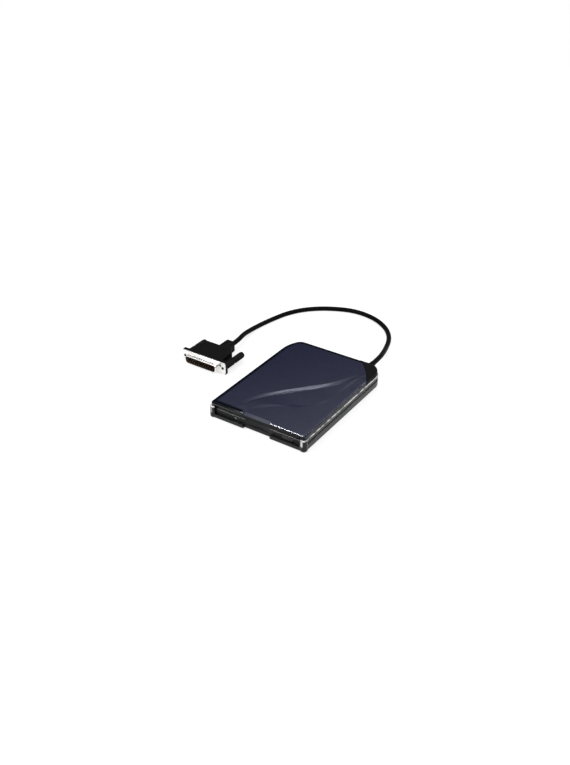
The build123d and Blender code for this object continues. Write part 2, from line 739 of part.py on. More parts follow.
with BuildPart() as chassis_tray:
    with BuildSketch(Plane.XY.offset(chassis_bottom)):
        with BuildLine():
            Polyline(
                (-chassis_outer, bezel_back),
                (-chassis_outer, wall_back),
                (-chassis_outer + chassis_corner_cut, mechanism_back),
                (chassis_outer - chassis_corner_cut, mechanism_back),
                (chassis_outer, wall_back),
                (chassis_outer, bezel_back),
                close=True,
            )
        make_face()
    extrude(amount=chassis_gauge)
    # Side walls up to the shield, with upright slots for the pins of the cradle.
    for side in (-1, 1):
        x_low, x_high = sorted((side * chassis_inner, side * chassis_outer))
        box_on(deck, shield_underside, x_low, x_high, bezel_back, wall_back)
    with BuildSketch(Plane.YZ.offset(-chassis_outer - 1)):
        for y in pin_points:
            with Locations((y, pin_z - disk_lift / 2)):
                SlotCenterToCenter(disk_lift, 2 * (guide_pin_radius + pin_play), rotation=90)
    extrude(amount=2 * chassis_outer + 2, mode=Mode.SUBTRACT)
    # A low wall across the back, open where the ribbon passes.
    wall_half = chassis_outer - chassis_corner_cut
    box_on(deck, holder_underside - 2, -wall_half, wall_half,
           mechanism_back - chassis_gauge, mechanism_back)
    box_on(deck, deck + 2.5, ribbon_x - 2, ribbon_x + ribbon_width + 2, mechanism_back - 2,
           mechanism_back + 1, mode=Mode.SUBTRACT)
    # Posts that the loaded disk lies on, and the post of the shutter lever.
    post_on(deck, loaded_disk_bottom, 1.5, disk_posts)
    post_on(deck, lever_bottom - 2.1, lever_post_radius + 1.0, [(lever_x, lever_y)])
    post_on(deck, lever_bottom + lever_gauge + 0.6, lever_post_radius, [(lever_x, lever_y)])
    # Tapped collars for the screws from below.
    post_on(deck, screw_boss_top, screw_radius + 0.7, mount_points)
    post_on(chassis_bottom, screw_boss_top, screw_radius + bond_gap, mount_points, mode=Mode.SUBTRACT)
    # Upright tabs that hold the front ends of the eject springs.
    for side in (-1, 1):
        x_low, x_high = sorted((side * (spring_x - 1), side * (spring_x + 1)))
        box_on(deck, spring_z + 1.0, x_low, x_high + spring_radius,
               spring_front - chassis_gauge, spring_front)
    post_y = [(side * spring_x + spring_radius, spring_z) for side in (-1, 1)]
    with BuildSketch(Plane.XZ.offset(-spring_front + 2)):
        with Locations(*post_y):
            Circle(spring_wire + fit_gap)
    extrude(amount=-3, mode=Mode.SUBTRACT)
    # Inward tabs that the shield is screwed to.
    for side in (-1, 1):
        x_low, x_high = sorted((side * (chassis_inner - 4), side * chassis_inner))
        box_on(shield_underside - chassis_gauge, shield_underside, x_low, x_high,
               shield_screw_y - shield_tab_half, shield_screw_y + shield_tab_half)
    post_on(shield_underside - chassis_gauge, shield_underside, 0.7 + bond_gap, shield_screw_points,
            mode=Mode.SUBTRACT)
save(chassis_tray, "chassis_tray")

with BuildPart() as shield_plate:
    with BuildSketch(Plane.XY.offset(shield_underside)):
        with Locations((0, (bezel_back + wall_back) / 2)):
            Rectangle(2 * chassis_outer, wall_back - bezel_back)
        with Locations((0, (arm_notch_front + wall_back) / 2 - 1)):
            Rectangle(2 * arm_notch_half - 3, wall_back - arm_notch_front, mode=Mode.SUBTRACT)
        with Locations(*shield_screw_points):
            Circle(0.8, mode=Mode.SUBTRACT)
        with Locations((-28, disk_back + 1.8), (28, disk_back + 1.8)):
            SlotOverall(16, 5, mode=Mode.SUBTRACT)
    extrude(amount=shield_gauge)
save(shield_plate, "shield_plate")

with BuildPart() as shield_screws:
    post_on(shield_underside - 1.4, shield_underside + shield_gauge, 0.7, shield_screw_points)
    post_on(mechanism_top, mechanism_top + mechanism_gap - 0.05, 1.3, shield_screw_points)
save(shield_screws, "shield_screws")

# ---------------------------------------------------------------- spindle motor

spindle = (0.0, spindle_y)
rotor_top = loaded_disk_bottom - 0.2
rotor_inner = rotor_radius - rotor_gauge
magnet_inner = rotor_inner - magnet_thickness
stator_tip = magnet_inner - air_gap
stator_bore = 5.2
core_bottom = board_top + 0.7
core_top = core_bottom + 1.6
tooth_width = 2.0
coil_inner = 9.0
coil_outer = stator_tip - 2.0
coil_turns = 0.55

with BuildPart() as motor_board:
    box_on(deck, board_top, -motor_board_half, motor_board_half, motor_board_front, motor_board_back)
    fillet(motor_board.edges().filter_by(Axis.Z), 3)
    post_on(deck, board_top, stator_bore + bond_gap, [spindle], mode=Mode.SUBTRACT)
save(motor_board, "motor_board")

with BuildPart() as stator_core:
    with BuildSketch(Plane.XY.offset(core_bottom)):
        with Locations(spindle):
            Circle(coil_inner - 0.6)
            with PolarLocations(stator_tip / 2, stator_teeth):
                Rectangle(stator_tip, tooth_width)
            with PolarLocations(stator_tip - 0.7, stator_teeth):
                Rectangle(1.4, 5.6)
            Circle(stator_tip, mode=Mode.INTERSECT)
            Circle(stator_bore + bond_gap, mode=Mode.SUBTRACT)
    extrude(amount=core_top - core_bottom)
save(stator_core, "stator_core")

with BuildPart() as stator_coils:
    with BuildSketch(Plane.XY.offset(core_bottom - coil_turns)):
        with Locations(spindle):
            with PolarLocations((coil_inner + coil_outer) / 2, stator_teeth):
                Rectangle(coil_outer - coil_inner, 3.8)
    extrude(amount=core_top - core_bottom + 2 * coil_turns)
    with BuildSketch(Plane.XY.offset(core_bottom)):
        with Locations(spindle):
            with PolarLocations((coil_inner + coil_outer) / 2, stator_teeth):
                Rectangle(coil_outer - coil_inner + 2, tooth_width)
    extrude(amount=core_top - core_bottom, mode=Mode.SUBTRACT)
save(stator_coils, "stator_coils")

with BuildPart() as bearing_sleeve:
    post_on(deck, core_top + 0.6, stator_bore, [spindle])
    post_on(board_top, core_bottom, stator_bore + 1.8, [spindle])
    post_on(deck, core_top + 0.6, shaft_radius + running_gap, [spindle], mode=Mode.SUBTRACT)
save(bearing_sleeve, "bearing_sleeve")

with BuildPart() as spindle_rotor:
    post_on(core_bottom - 0.2, rotor_top, rotor_radius, [spindle])
    fillet(spindle_rotor.faces().sort_by(Axis.Z)[-1].edges(), 0.3)
    post_on(core_bottom - 0.2, rotor_top - rotor_gauge, rotor_inner, [spindle], mode=Mode.SUBTRACT)
    post_on(rotor_top - rotor_gauge, rotor_top, shaft_radius + bond_gap, [spindle], mode=Mode.SUBTRACT)
    post_on(rotor_top - rotor_gauge, rotor_top, drive_pin_radius + pin_play,
            [(drive_pin_offset, spindle_y)], mode=Mode.SUBTRACT)
save(spindle_rotor, "spindle_rotor")

with BuildPart() as rotor_magnet:
    post_on(core_bottom, rotor_top - rotor_gauge, rotor_inner - bond_gap, [spindle])
    post_on(core_bottom, rotor_top - rotor_gauge, magnet_inner, [spindle], mode=Mode.SUBTRACT)
save(rotor_magnet, "rotor_magnet")

with BuildPart() as hub_table:
    post_on(rotor_top, rotor_top + hub_table_thickness, hub_table_radius, [spindle])
    fillet(hub_table.faces().sort_by(Axis.Z)[-1].edges(), 0.2)
    post_on(deck + 0.2, rotor_top, shaft_radius, [spindle])
    post_on(rotor_top + hub_table_thickness, rotor_top + hub_table_thickness + centre_pin_height,
            centre_pin_radius, [spindle])
    chamfer(hub_table.faces().sort_by(Axis.Z)[-1].edges(), 0.4)
    post_on(rotor_top, rotor_top + hub_table_thickness, drive_pin_radius + pin_play,
            [(drive_pin_offset, spindle_y)], mode=Mode.SUBTRACT)
save(hub_table, "hub_table")

with BuildPart() as drive_pin:
    post_on(rotor_top, rotor_top + hub_table_thickness + drive_pin_travel + fit_gap, drive_pin_radius,
            [(drive_pin_offset, spindle_y)])
    fillet(drive_pin.faces().sort_by(Axis.Z)[-1].edges(), 0.4)
save(drive_pin, "drive_pin")

# ---------------------------------------------------------------- heads and their drive

screw_z = deck + stepper_radius + 0.2
bracket_half = 3.0
bushing_radius = 2.1
rod_z = deck + bushing_radius + 0.25
bushing_front = web_front - 10.0
rod_clamp_gauge = 2.0
rod_front = bushing_front - head_travel - slide_gap - rod_clamp_gauge
rod_back = web_front + slide_gap + rod_clamp_gauge
carriage_bottom = deck + 1.1
carriage_top = loaded_disk_bottom - 0.8
arm_pin_y = web_front + 1.7
arm_pin_z = shield_underside - arm_gauge - arm_pin_radius
web_top = arm_pin_z - arm_pin_radius - 0.6
head_top = media_plane

with BuildPart() as screw_bracket:
    box_on(deck, deck + 0.6, screw_x - bracket_half, screw_x + bracket_half, bracket_front,
           motor_flange_y + chassis_gauge)
    box_on(deck, screw_z + 2.4, screw_x - bracket_half, screw_x + bracket_half, bracket_front, screw_front)
    box_on(deck, screw_z + stepper_radius, screw_x - stepper_radius - 0.6, screw_x + stepper_radius + 0.6,
           motor_flange_y, motor_flange_y + chassis_gauge)
    with BuildSketch(Plane.XZ.offset(-bracket_front + 1)):
        with Locations((screw_x, screw_z)):
            Circle(lead_screw_radius + running_gap)
    extrude(amount=-(motor_flange_y - bracket_front + 3), mode=Mode.SUBTRACT)
save(screw_bracket, "screw_bracket")

with BuildPart() as stepper_motor:
    with BuildSketch(Plane.XZ.offset(-motor_flange_y - chassis_gauge)):
        with Locations((screw_x, screw_z)):
            Circle(stepper_radius)
            Circle(lead_screw_radius + running_gap, mode=Mode.SUBTRACT)
    extrude(amount=-stepper_length)
    fillet(stepper_motor.faces().sort_by(Axis.Y)[-1].edges().sort_by(SortBy.LENGTH)[-1], 0.6)
save(stepper_motor, "stepper_motor")

with BuildPart() as lead_screw:
    with BuildSketch(Plane.XZ.offset(-bracket_front)):
        with Locations((screw_x, screw_z)):
            Circle(lead_screw_radius)
    extrude(amount=-(stepper_back - bracket_front - 0.5))
save(lead_screw, "lead_screw")

with BuildPart() as guide_rod:
    with BuildSketch(Plane.XZ.offset(-rod_front)):
        with Locations((rod_x, rod_z)):
            Circle(rod_radius)
    extrude(amount=-(rod_back - rod_front))
save(guide_rod, "guide_rod")

with BuildPart() as rod_clamps:
    for y_low in (rod_front, rod_back - rod_clamp_gauge):
        box_on(deck, rod_z + rod_radius + 0.3, rod_x - 2.4, rod_x + 2.4, y_low, y_low + rod_clamp_gauge)
    with BuildSketch(Plane.XZ.offset(-rod_front + 1)):
        with Locations((rod_x, rod_z)):
            Circle(rod_radius + bond_gap)
    extrude(amount=-(rod_back - rod_front + 2), mode=Mode.SUBTRACT)
save(rod_clamps, "rod_clamps")

with BuildPart() as head_carriage:
    # Lower arm, bearing block on the guide rod, and the web that carries the upper arm.
    box_on(carriage_bottom, carriage_top, -4.5, 4.5, track_zero_y - head_length / 2 - 0.4, web_back)
    box_on(carriage_bottom, carriage_top, rod_x, 4.5, bushing_front, web_front)
    with BuildSketch(Plane.XZ.offset(-bushing_front)):
        with Locations((rod_x, rod_z)):
            Circle(bushing_radius)
    extrude(amount=-(web_front - bushing_front))
    box_on(carriage_bottom, web_top, -6.5, 6.5, web_front, web_back)
    for side in (-1, 1):
        x_low, x_high = sorted((side * 5.3, side * 6.5))
        box_on(web_top, arm_pin_z + 0.9, x_low, x_high, arm_pin_y - 1, arm_pin_y + 1)
    with BuildSketch(Plane.YZ.offset(-8)):
        with Locations((arm_pin_y, arm_pin_z)):
            Circle(arm_pin_radius + bond_gap)
    extrude(amount=16, mode=Mode.SUBTRACT)
    # Pedestal of the lower head.
    box_on(carriage_top, media_plane - 1.0, -head_width / 2, head_width / 2,
           track_zero_y - head_length / 2, track_zero_y + head_length / 2)
    # Eye that follows the lead screw.
    box_on(screw_z - 1.2, screw_z + 1.2, 6.0, screw_x, follower_y - follower_half, follower_y + follower_half)
    with BuildSketch(Plane.XZ.offset(-follower_y + follower_half)):
        with Locations((screw_x, screw_z)):
            Circle(2.8)
    extrude(amount=-2 * follower_half)
    with BuildSketch(Plane.XZ.offset(-follower_y + follower_half + 1)):
        with Locations((screw_x, screw_z)):
            Circle(lead_screw_radius + running_gap)
    extrude(amount=-2 * follower_half - 2, mode=Mode.SUBTRACT)
    with BuildSketch(Plane.XZ.offset(-bushing_front + 1)):
        with Locations((rod_x, rod_z)):
            Circle(rod_radius + running_gap)
    extrude(amount=-(web_front - bushing_front + 2), mode=Mode.SUBTRACT)
    # Flag that tells the track zero sensor where the carriage is.
    box_on(carriage_top - 0.6, carriage_top, rod_x - 6.3, rod_x - 1.6, bushing_front + 3, bushing_front + 7)
    box_on(carriage_bottom + 0.6, carriage_top, rod_x - 6.3, rod_x - 5.7, bushing_front + 3,
           bushing_front + 7)
save(head_carriage, "head_carriage")

with BuildPart() as lower_head:
    box_on(media_plane - 1.0, head_top, -head_width / 2, head_width / 2,
           track_zero_y - head_length / 2, track_zero_y + head_length / 2)
    chamfer(lower_head.faces().sort_by(Axis.Z)[-1].edges(), 0.3)
save(lower_head, "lower_head")

arm_bottom = shield_underside - arm_gauge
barrel_end = 3.0
upper_head_height = 1.05

with BuildPart() as upper_arm:
    with BuildSketch(Plane.XY.offset(arm_bottom)):
        with BuildLine():
            tip_y = track_zero_y - head_length / 2 - 0.2
            Polyline((-3.2, tip_y), (-4.8, tip_y + 8), (-4.8, arm_pin_y), (barrel_end, arm_pin_y),
                     (barrel_end, tip_y + 8), (3.2, tip_y), close=True)
        make_face()
        with Locations((0, (track_zero_y + arm_pin_y) / 2)):
            SlotOverall(12, 2.4, rotation=90, mode=Mode.SUBTRACT)
    extrude(amount=arm_gauge)
    with BuildSketch(Plane.YZ.offset(-4.8)):
        with Locations((arm_pin_y, arm_pin_z)):
            Circle(arm_pin_radius + arm_gauge)
            Circle(arm_pin_radius + 0.03, mode=Mode.SUBTRACT)
    extrude(amount=4.8 + barrel_end)
save(upper_arm, "upper_arm")

with BuildPart() as upper_head:
    box_on(arm_bottom - upper_head_height, arm_bottom, -head_width / 2, head_width / 2,
           track_zero_y - head_length / 2, track_zero_y + head_length / 2)
    chamfer(upper_head.faces().sort_by(Axis.Z)[0].edges(), 0.3)
save(upper_head, "upper_head")

with BuildPart() as arm_pin:
    with BuildSketch(Plane.YZ.offset(-6.4)):
        with Locations((arm_pin_y, arm_pin_z)):
            Circle(arm_pin_radius)
    extrude(amount=12.8)
save(arm_pin, "arm_pin")

with BuildPart() as arm_spring:
    add(coil_spring((barrel_end + 0.3, arm_pin_y, arm_pin_z), (1, 0, 0), arm_pin_radius + 0.22, 0.12, 1.5, 3))
save(arm_spring, "arm_spring")

flex_gauge = 0.15
flex_top = carriage_bottom - fit_gap - flex_gauge / 2
flex_bend = (flex_top - deck - flex_gauge / 2) / 2

with BuildPart() as head_flex:
    # A flat ribbon under the carriage, folded back along the floor of the tray.
    with BuildSketch(Plane.YZ.offset(-3)):
        with BuildLine() as flex_line:
            upper_run = Line((web_front - 4, flex_top), (mechanism_back - 7, flex_top))
            fold = JernArc(upper_run @ 1, upper_run % 1, flex_bend, -180)
            Line(fold @ 1, (motor_board_back + 0.3, flex_top - 2 * flex_bend))
            offset(amount=flex_gauge / 2, kind=Kind.INTERSECTION, side=Side.BOTH)
        make_face()
    extrude(amount=6)
save(head_flex, "head_flex")

sensor_gap = 0.5
flag_x = rod_x - 6.0
with BuildPart() as track_sensor:
    box_on(deck, carriage_top - 0.9, flag_x - 2.2, flag_x + 2.2, bushing_front + 2, bushing_front + 8)
    box_on(carriage_bottom + 0.3, carriage_top, flag_x - 0.3 - sensor_gap, flag_x + 0.3 + sensor_gap,
           bushing_front + 1, bushing_front + 9, mode=Mode.SUBTRACT)
save(track_sensor, "track_sensor")

# ---------------------------------------------------------------- boards and switches

switch_y = board_front + 4.0
write_switch = (4.0 - board_half, switch_y)
disk_switch = (14.0 - board_half, switch_y)
density_switch = (board_half - 4.0, switch_y)
switch_top = board_top + switch_height
plunger_top = loaded_disk_bottom + plunger_travel

with BuildPart() as main_board:
    box_on(deck, board_top, -board_half, board_half, board_front, board_back)
    box_on(deck, board_top, -motor_board_half - board_clearance, motor_board_half + board_clearance,
           motor_board_front - board_clearance, board_back + 1, mode=Mode.SUBTRACT)
    fillet(main_board.edges().filter_by(Axis.Z), 1)
    post_on(deck, board_top, 2.0, disk_posts[:2], mode=Mode.SUBTRACT)
    post_on(deck, board_top, screw_radius + 1.2, mount_points[:2], mode=Mode.SUBTRACT)
save(main_board, "main_board")

chip_height = 1.5
chip_inner = motor_board_half + 4.0
passive_rows = (-board_half + 8.0, board_half - 9.0)
with BuildPart() as board_chips:
    box_on(board_top, board_top + chip_height, 2.0 - board_half, -chip_inner, spindle_y - 13.2,
           spindle_y - 1.2)
    box_on(board_top, board_top + chip_height, chip_inner, board_half - 4.0, spindle_y - 7.2, spindle_y + 2.8)
    box_on(board_top, board_top + chip_height - 0.3, -8, 2, board_front + 3.0, board_front + 10.0)
    fillet(board_chips.edges().filter_by(Axis.Z), 0.4)
    with BuildSketch(Plane.XY.offset(board_top)):
        for row_x in passive_rows:
            with Locations((row_x, spindle_y + 16.8)):
                with GridLocations(3.2, 3.0, 3, 3):
                    Rectangle(1.6, 0.9)
    extrude(amount=0.6)
save(board_chips, "board_chips")

with BuildPart() as switch_bodies:
    with BuildSketch(Plane.XY.offset(board_top)):
        with Locations(write_switch, disk_switch, density_switch):
            Rectangle(switch_size, switch_size)
    extrude(amount=switch_height)
    post_on(plunger_top - plunger_travel - 3.0, switch_top, plunger_radius + running_gap,
            [write_switch, disk_switch, density_switch], mode=Mode.SUBTRACT)
save(switch_bodies, "switch_bodies")

plungers = {
    "write_plunger": write_switch,
    "disk_plunger": disk_switch,
    "density_plunger": density_switch,
}
for plunger_name, point in plungers.items():
    with BuildPart() as plunger:
        post_on(plunger_top - 2.8, plunger_top, plunger_radius, [point])
        fillet(plunger.faces().sort_by(Axis.Z)[-1].edges(), 0.3)
    save(plunger, plunger_name)

interface_bottom = floor_top + 1.5
interface_front = mechanism_back + 1.2
interface_back = back_y - base_wall - 1.2
header_x = relief_x - 6.5
header_height = 5.8

with BuildPart() as interface_board:
    box_on(interface_bottom, interface_bottom + board_gauge, ribbon_x - 1, header_x + 1, interface_front,
           interface_back)
    # Stand-offs under the board.
    post_on(floor_top, interface_bottom, 1.4,
            [(ribbon_x + 13, interface_front + 4), (header_x - 10, interface_front + 4)])
save(interface_board, "interface_board")

interface_top = interface_bottom + board_gauge
with BuildPart() as interface_chips:
    box_on(interface_top, interface_top + 1.4, header_x - 35, header_x - 25, interface_front + 0.8,
           interface_back - 0.8)
    box_on(interface_top, interface_top + 3.0, header_x - 19, header_x - 12, interface_front + 2,
           interface_front + 5)
    box_on(interface_top, interface_top + header_height, header_x - 5.5, header_x,
           interface_front + 0.6, interface_back - 0.4)
save(interface_chips, "interface_chips")

with BuildPart() as signal_ribbon:
    with BuildSketch(Plane.YZ.offset(ribbon_x)):
        with BuildLine():
            FilletPolyline(
                (board_back - 4, board_top + 0.15), (board_back + 1, board_top + 0.15),
                (board_back + 2.5, deck + 0.3),
                (mechanism_back - 4, deck + 0.3), (mechanism_back - 1.2, interface_top + 0.15),
                (interface_front + 4.0, interface_top + 0.15), radius=0.4,
            )
            offset(amount=0.1, kind=Kind.INTERSECTION, side=Side.BOTH)
        make_face()
    extrude(amount=ribbon_width)
save(signal_ribbon, "signal_ribbon")

# ---------------------------------------------------------------- strain relief and cable

relief_inner = relief_seat - relief_flange_thickness
relief_collar = relief_neck_radius + 0.8
relief_tip_y = back_y + relief_length
with BuildPart() as strain_relief:
    with BuildSketch(Plane.XY.offset(cable_exit_height)):
        with BuildLine():
            Polyline(
                (relief_x, relief_inner), (relief_x + relief_flange_radius, relief_inner),
                (relief_x + relief_flange_radius, relief_seat), (relief_x + relief_neck_radius, relief_seat),
                (relief_x + relief_neck_radius, back_y + fit_gap),
                (relief_x + relief_collar, back_y + fit_gap),
            )
            Spline(
                (relief_x + relief_collar, back_y + fit_gap), (relief_x + cable_radius + 1.1, back_y + 4.0),
                (relief_x + cable_radius + 0.35, relief_tip_y),
            )
            Polyline((relief_x + cable_radius + 0.35, relief_tip_y), (relief_x, relief_tip_y),
                     (relief_x, relief_inner))
        make_face()
    revolve(axis=Axis((relief_x, 0, cable_exit_height), (0, 1, 0)))
save(strain_relief, "strain_relief")

tail_front = relief_inner - 1.5
lead_radius = 0.45
lead_spread = 1.1
lead_bend = tail_front - 2.5
with BuildPart() as cable_tail:
    with BuildSketch(Plane.XZ.offset(-tail_front)):
        with Locations((relief_x, cable_exit_height)):
            Circle(cable_radius)
    extrude(amount=-(relief_inner - tail_front))
    # Three leads leave the jacket and plug into the header of the interface board.
    for lead in (-1, 0, 1):
        lead_x = relief_x - lead_spread * lead
        lead_z = cable_exit_height - 0.4 + lead_spread * lead
        with BuildLine() as lead_line:
            FilletPolyline((lead_x, tail_front + 0.5, lead_z), (lead_x, lead_bend, lead_z),
                           (header_x, lead_bend, lead_z), radius=1.2)
        with BuildSketch(Plane(origin=lead_line.line @ 0, z_dir=lead_line.line % 0)):
            Circle(lead_radius)
        sweep(path=lead_line.line)
save(cable_tail, "cable_tail")

plate_back = plug_y + flange_gauge
hood_back = plate_back + hood_depth
boss_back = hood_back + boss_length
plug_z = plug_height / 2
boss_x = plug_x + boss_shift

# The cable lies in one loose bow behind the drive, from the plug round to the strain relief.
cable_route = [
    (boss_x, boss_back, plug_z),
    (boss_x, boss_back + 12.0, plug_z),
    (-112.6, 66.0, 5.0),
    (-113.8, 83.0, 3.0),
    (-112.0, 100.0, cable_radius),
    (-108.0, 118.0, cable_radius),
    (-102.6, 136.2, cable_radius),
    (-92.2, 152.8, cable_radius),
    (-78.0, 165.6, cable_radius),
    (-61.6, 174.8, cable_radius),
    (-46.0, 180.2, cable_radius),
    (-29.6, 180.4, cable_radius),
    (-12.6, 175.8, cable_radius),
    (3.4, 165.6, cable_radius),
    (14.4, 153.0, cable_radius),
    (20.8, 140.0, cable_radius),
    (24.8, 127.0, 3.2),
    (29.2, 113.2, 5.8),
    (relief_x, relief_tip_y + 13.0, cable_exit_height),
    (relief_x, relief_tip_y, cable_exit_height),
]


def bend_radii(points, share=0.45):
    """The largest arc that the two runs at each inner point allow."""
    radii = []
    for before, here, after in zip(points, points[1:], points[2:]):
        run_in = Vector(*here) - Vector(*before)
        run_out = Vector(*after) - Vector(*here)
        turn = radians(run_in.get_angle(run_out))
        radii.append(share * min(run_in.length, run_out.length) / tan(turn / 2))
    return radii


cable_radii = bend_radii(cable_route)
with BuildPart() as interface_cable:
    with BuildLine() as cable_line:
        FilletPolyline(*cable_route, radius=cable_radii)
    with BuildSketch(Plane(origin=cable_line.line @ 0, z_dir=cable_line.line % 0)):
        Circle(cable_radius)
    sweep(path=cable_line.line)
save(interface_cable, "interface_cable")
print("cable radii:", [round(r, 1) for r in cable_radii])
cable_length = cable_line.wire().length
print("cable length:", round(cable_length, 1))
print("cable volume over section times length:",
      round(interface_cable.part.volume / (pi * cable_radius**2 * cable_length), 4))

# ---------------------------------------------------------------- 25-way plug

jack_points = [-jackscrew_spacing / 2, jackscrew_spacing / 2]
plug_face = Plane(origin=(plug_x, plug_y, plug_z), x_dir=(1, 0, 0), z_dir=(0, -1, 0))


def d_outline(width, height, mode=Mode.ADD):
    """The D shape of the shell: its ends lean in by ten degrees towards the bottom."""
    lean = height * tan(radians(10))
    with BuildLine() as outline:
        FilletPolyline(
            (-width / 2, height / 2), (width / 2, height / 2),
            (width / 2 - lean, -height / 2), (-width / 2 + lean, -height / 2),
            radius=0.3 * height, close=True,
        )
    return make_face(outline.edges(), mode=mode)


with BuildPart() as connector_shell:
    with BuildSketch(plug_face.offset(-flange_gauge)):
        RectangleRounded(flange_width, flange_height, 1.5)
    extrude(amount=flange_gauge)
    with BuildSketch(plug_face):
        d_outline(shell_width, shell_height)
    extrude(amount=shell_reach)
    fillet(connector_shell.faces().sort_by(Axis.Y)[0].edges(), 0.25)
    with BuildSketch(plug_face.offset(-flange_gauge)):
        d_outline(shell_width - 2 * shell_gauge, shell_height - 2 * shell_gauge)
        with Locations(*[(x, 0) for x in jack_points]):
            Circle(thumb_shaft_radius + pin_play)
    extrude(amount=shell_reach + flange_gauge, mode=Mode.SUBTRACT)
save(connector_shell, "connector_shell")

insulator_gap = 0.05
insulator_back = 4.0
with BuildPart() as connector_insulator:
    with BuildSketch(plug_face.offset(-insulator_back)):
        d_outline(shell_width - 2 * shell_gauge - 2 * insulator_gap,
                  shell_height - 2 * shell_gauge - 2 * insulator_gap)
    extrude(amount=insulator_back)
    upper_row = [((i - 6) * contact_pitch, contact_row_gap / 2) for i in range(13)]
    lower_row = [((i - 5.5) * contact_pitch, -contact_row_gap / 2) for i in range(12)]
    with BuildSketch(plug_face.offset(-insulator_back)):
        with Locations(*upper_row, *lower_row):
            Circle(contact_radius + bond_gap)
    extrude(amount=insulator_back, mode=Mode.SUBTRACT)
save(connector_insulator, "connector_insulator")

with BuildPart() as connector_pins:
    with BuildSketch(plug_face.offset(-insulator_back - 3)):
        with Locations(*upper_row, *lower_row):
            Circle(contact_radius)
    extrude(amount=insulator_back + 3 + shell_reach - 0.6)
save(connector_pins, "connector_pins")

hood_wall = 1.0
ear_half = flange_width / 2
hood_shoulder = 4.0


def hood_outline(inset=0.0, ears=True):
    """Plan of the hood: wide at the flange, narrowing to a back with a cut shoulder."""
    front_half = hood_front_width / 2 - inset
    back_half = hood_back_width / 2 - inset
    back = hood_back - inset
    points = [
        (plug_x - front_half, plate_back),
        (plug_x - back_half, back),
        (plug_x + back_half - hood_shoulder, back),
        (plug_x + back_half, back - hood_shoulder),
        (plug_x + front_half, plate_back),
    ]
    with BuildLine() as outline:
        FilletPolyline(*points, radius=0.8, close=True)
    make_face(outline.edges())
    if ears:
        with Locations((plug_x, plate_back + hood_ear_depth / 2)):
            Rectangle(2 * ear_half, hood_ear_depth)


with BuildPart() as connector_hood:
    with BuildSketch(Plane.XY):
        hood_outline()
    extrude(amount=plug_height)
    fillet(connector_hood.faces().filter_by(Axis.Z).group_by(Axis.Z)[-1].edges(), 0.8)
    fillet(connector_hood.faces().filter_by(Axis.Z).group_by(Axis.Z)[0].edges(), 0.6)
    with BuildSketch(Plane.XZ.offset(-hood_back + 3)):
        with Locations((boss_x, plug_z)):
            RectangleRounded(boss_width, boss_height, boss_corner_radius)
    extrude(amount=-boss_length - 3)
    fillet(connector_hood.faces().sort_by(Axis.Y)[-1].edges(), 0.8)
    # The chamber for the insulator and the solder ends of the pins, open at the flange.
    with BuildSketch(Plane.XY.offset(hood_wall)):
        hood_outline(inset=hood_wall, ears=False)
    extrude(amount=plug_height - 2 * hood_wall, mode=Mode.SUBTRACT)
    # The holes of the thumbscrews in the ears.
    with BuildSketch(plug_face.offset(-flange_gauge)):
        with Locations(*[(x, 0) for x in jack_points]):
            Circle(thumb_shaft_radius + pin_play)
    extrude(amount=-hood_ear_depth - 1, mode=Mode.SUBTRACT)
save(connector_hood, "connector_hood")

for side, thumb_name in ((-1, "thumbscrew_left"), (1, "thumbscrew_right")):
    thumb_x = plug_x + side * jackscrew_spacing / 2
    thumb_front = plate_back + hood_ear_depth + slide_gap
    # Backed out, its tip stands just inside the face of the plate.
    thumb_tip = plug_y + slide_gap
    with BuildPart() as thumbscrew:
        with BuildSketch(Plane(origin=(thumb_x, thumb_front, plug_z), x_dir=(1, 0, 0), z_dir=(0, 1, 0))):
            Circle(thumb_radius)
        extrude(amount=thumb_head_length)
        fillet(thumbscrew.faces().sort_by(Axis.Y)[-1].edges(), 0.5)
        # A waist behind the grip.
        waist_y = thumb_front + 0.45 * thumb_head_length
        with BuildSketch(Plane(origin=(thumb_x, waist_y, plug_z), x_dir=(1, 0, 0), z_dir=(0, 1, 0))):
            Circle(thumb_radius + 1)
            Circle(thumb_waist_radius, mode=Mode.SUBTRACT)
        extrude(amount=thumb_waist_width, mode=Mode.SUBTRACT)
        with BuildSketch(Plane(origin=(thumb_x, thumb_tip, plug_z), x_dir=(1, 0, 0), z_dir=(0, 1, 0))):
            Circle(thumb_shaft_radius)
        extrude(amount=thumb_front - thumb_tip)
    save(thumbscrew, thumb_name)
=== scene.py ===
import math

import bmesh
import bpy
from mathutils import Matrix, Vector


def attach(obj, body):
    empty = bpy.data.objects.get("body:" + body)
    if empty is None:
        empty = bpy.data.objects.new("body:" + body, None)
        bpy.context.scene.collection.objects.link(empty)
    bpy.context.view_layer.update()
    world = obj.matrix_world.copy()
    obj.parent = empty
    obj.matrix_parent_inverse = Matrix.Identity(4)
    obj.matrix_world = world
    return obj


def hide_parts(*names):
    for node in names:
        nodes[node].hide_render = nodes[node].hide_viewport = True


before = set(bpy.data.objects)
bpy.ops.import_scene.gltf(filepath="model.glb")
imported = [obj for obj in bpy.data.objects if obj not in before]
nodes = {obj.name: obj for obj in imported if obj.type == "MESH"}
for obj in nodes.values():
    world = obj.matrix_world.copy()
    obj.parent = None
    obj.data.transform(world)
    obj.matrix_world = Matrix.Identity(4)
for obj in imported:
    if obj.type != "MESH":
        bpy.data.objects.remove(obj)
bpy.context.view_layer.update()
mm = 0.001

# ---------------------------------------------------------------- camera

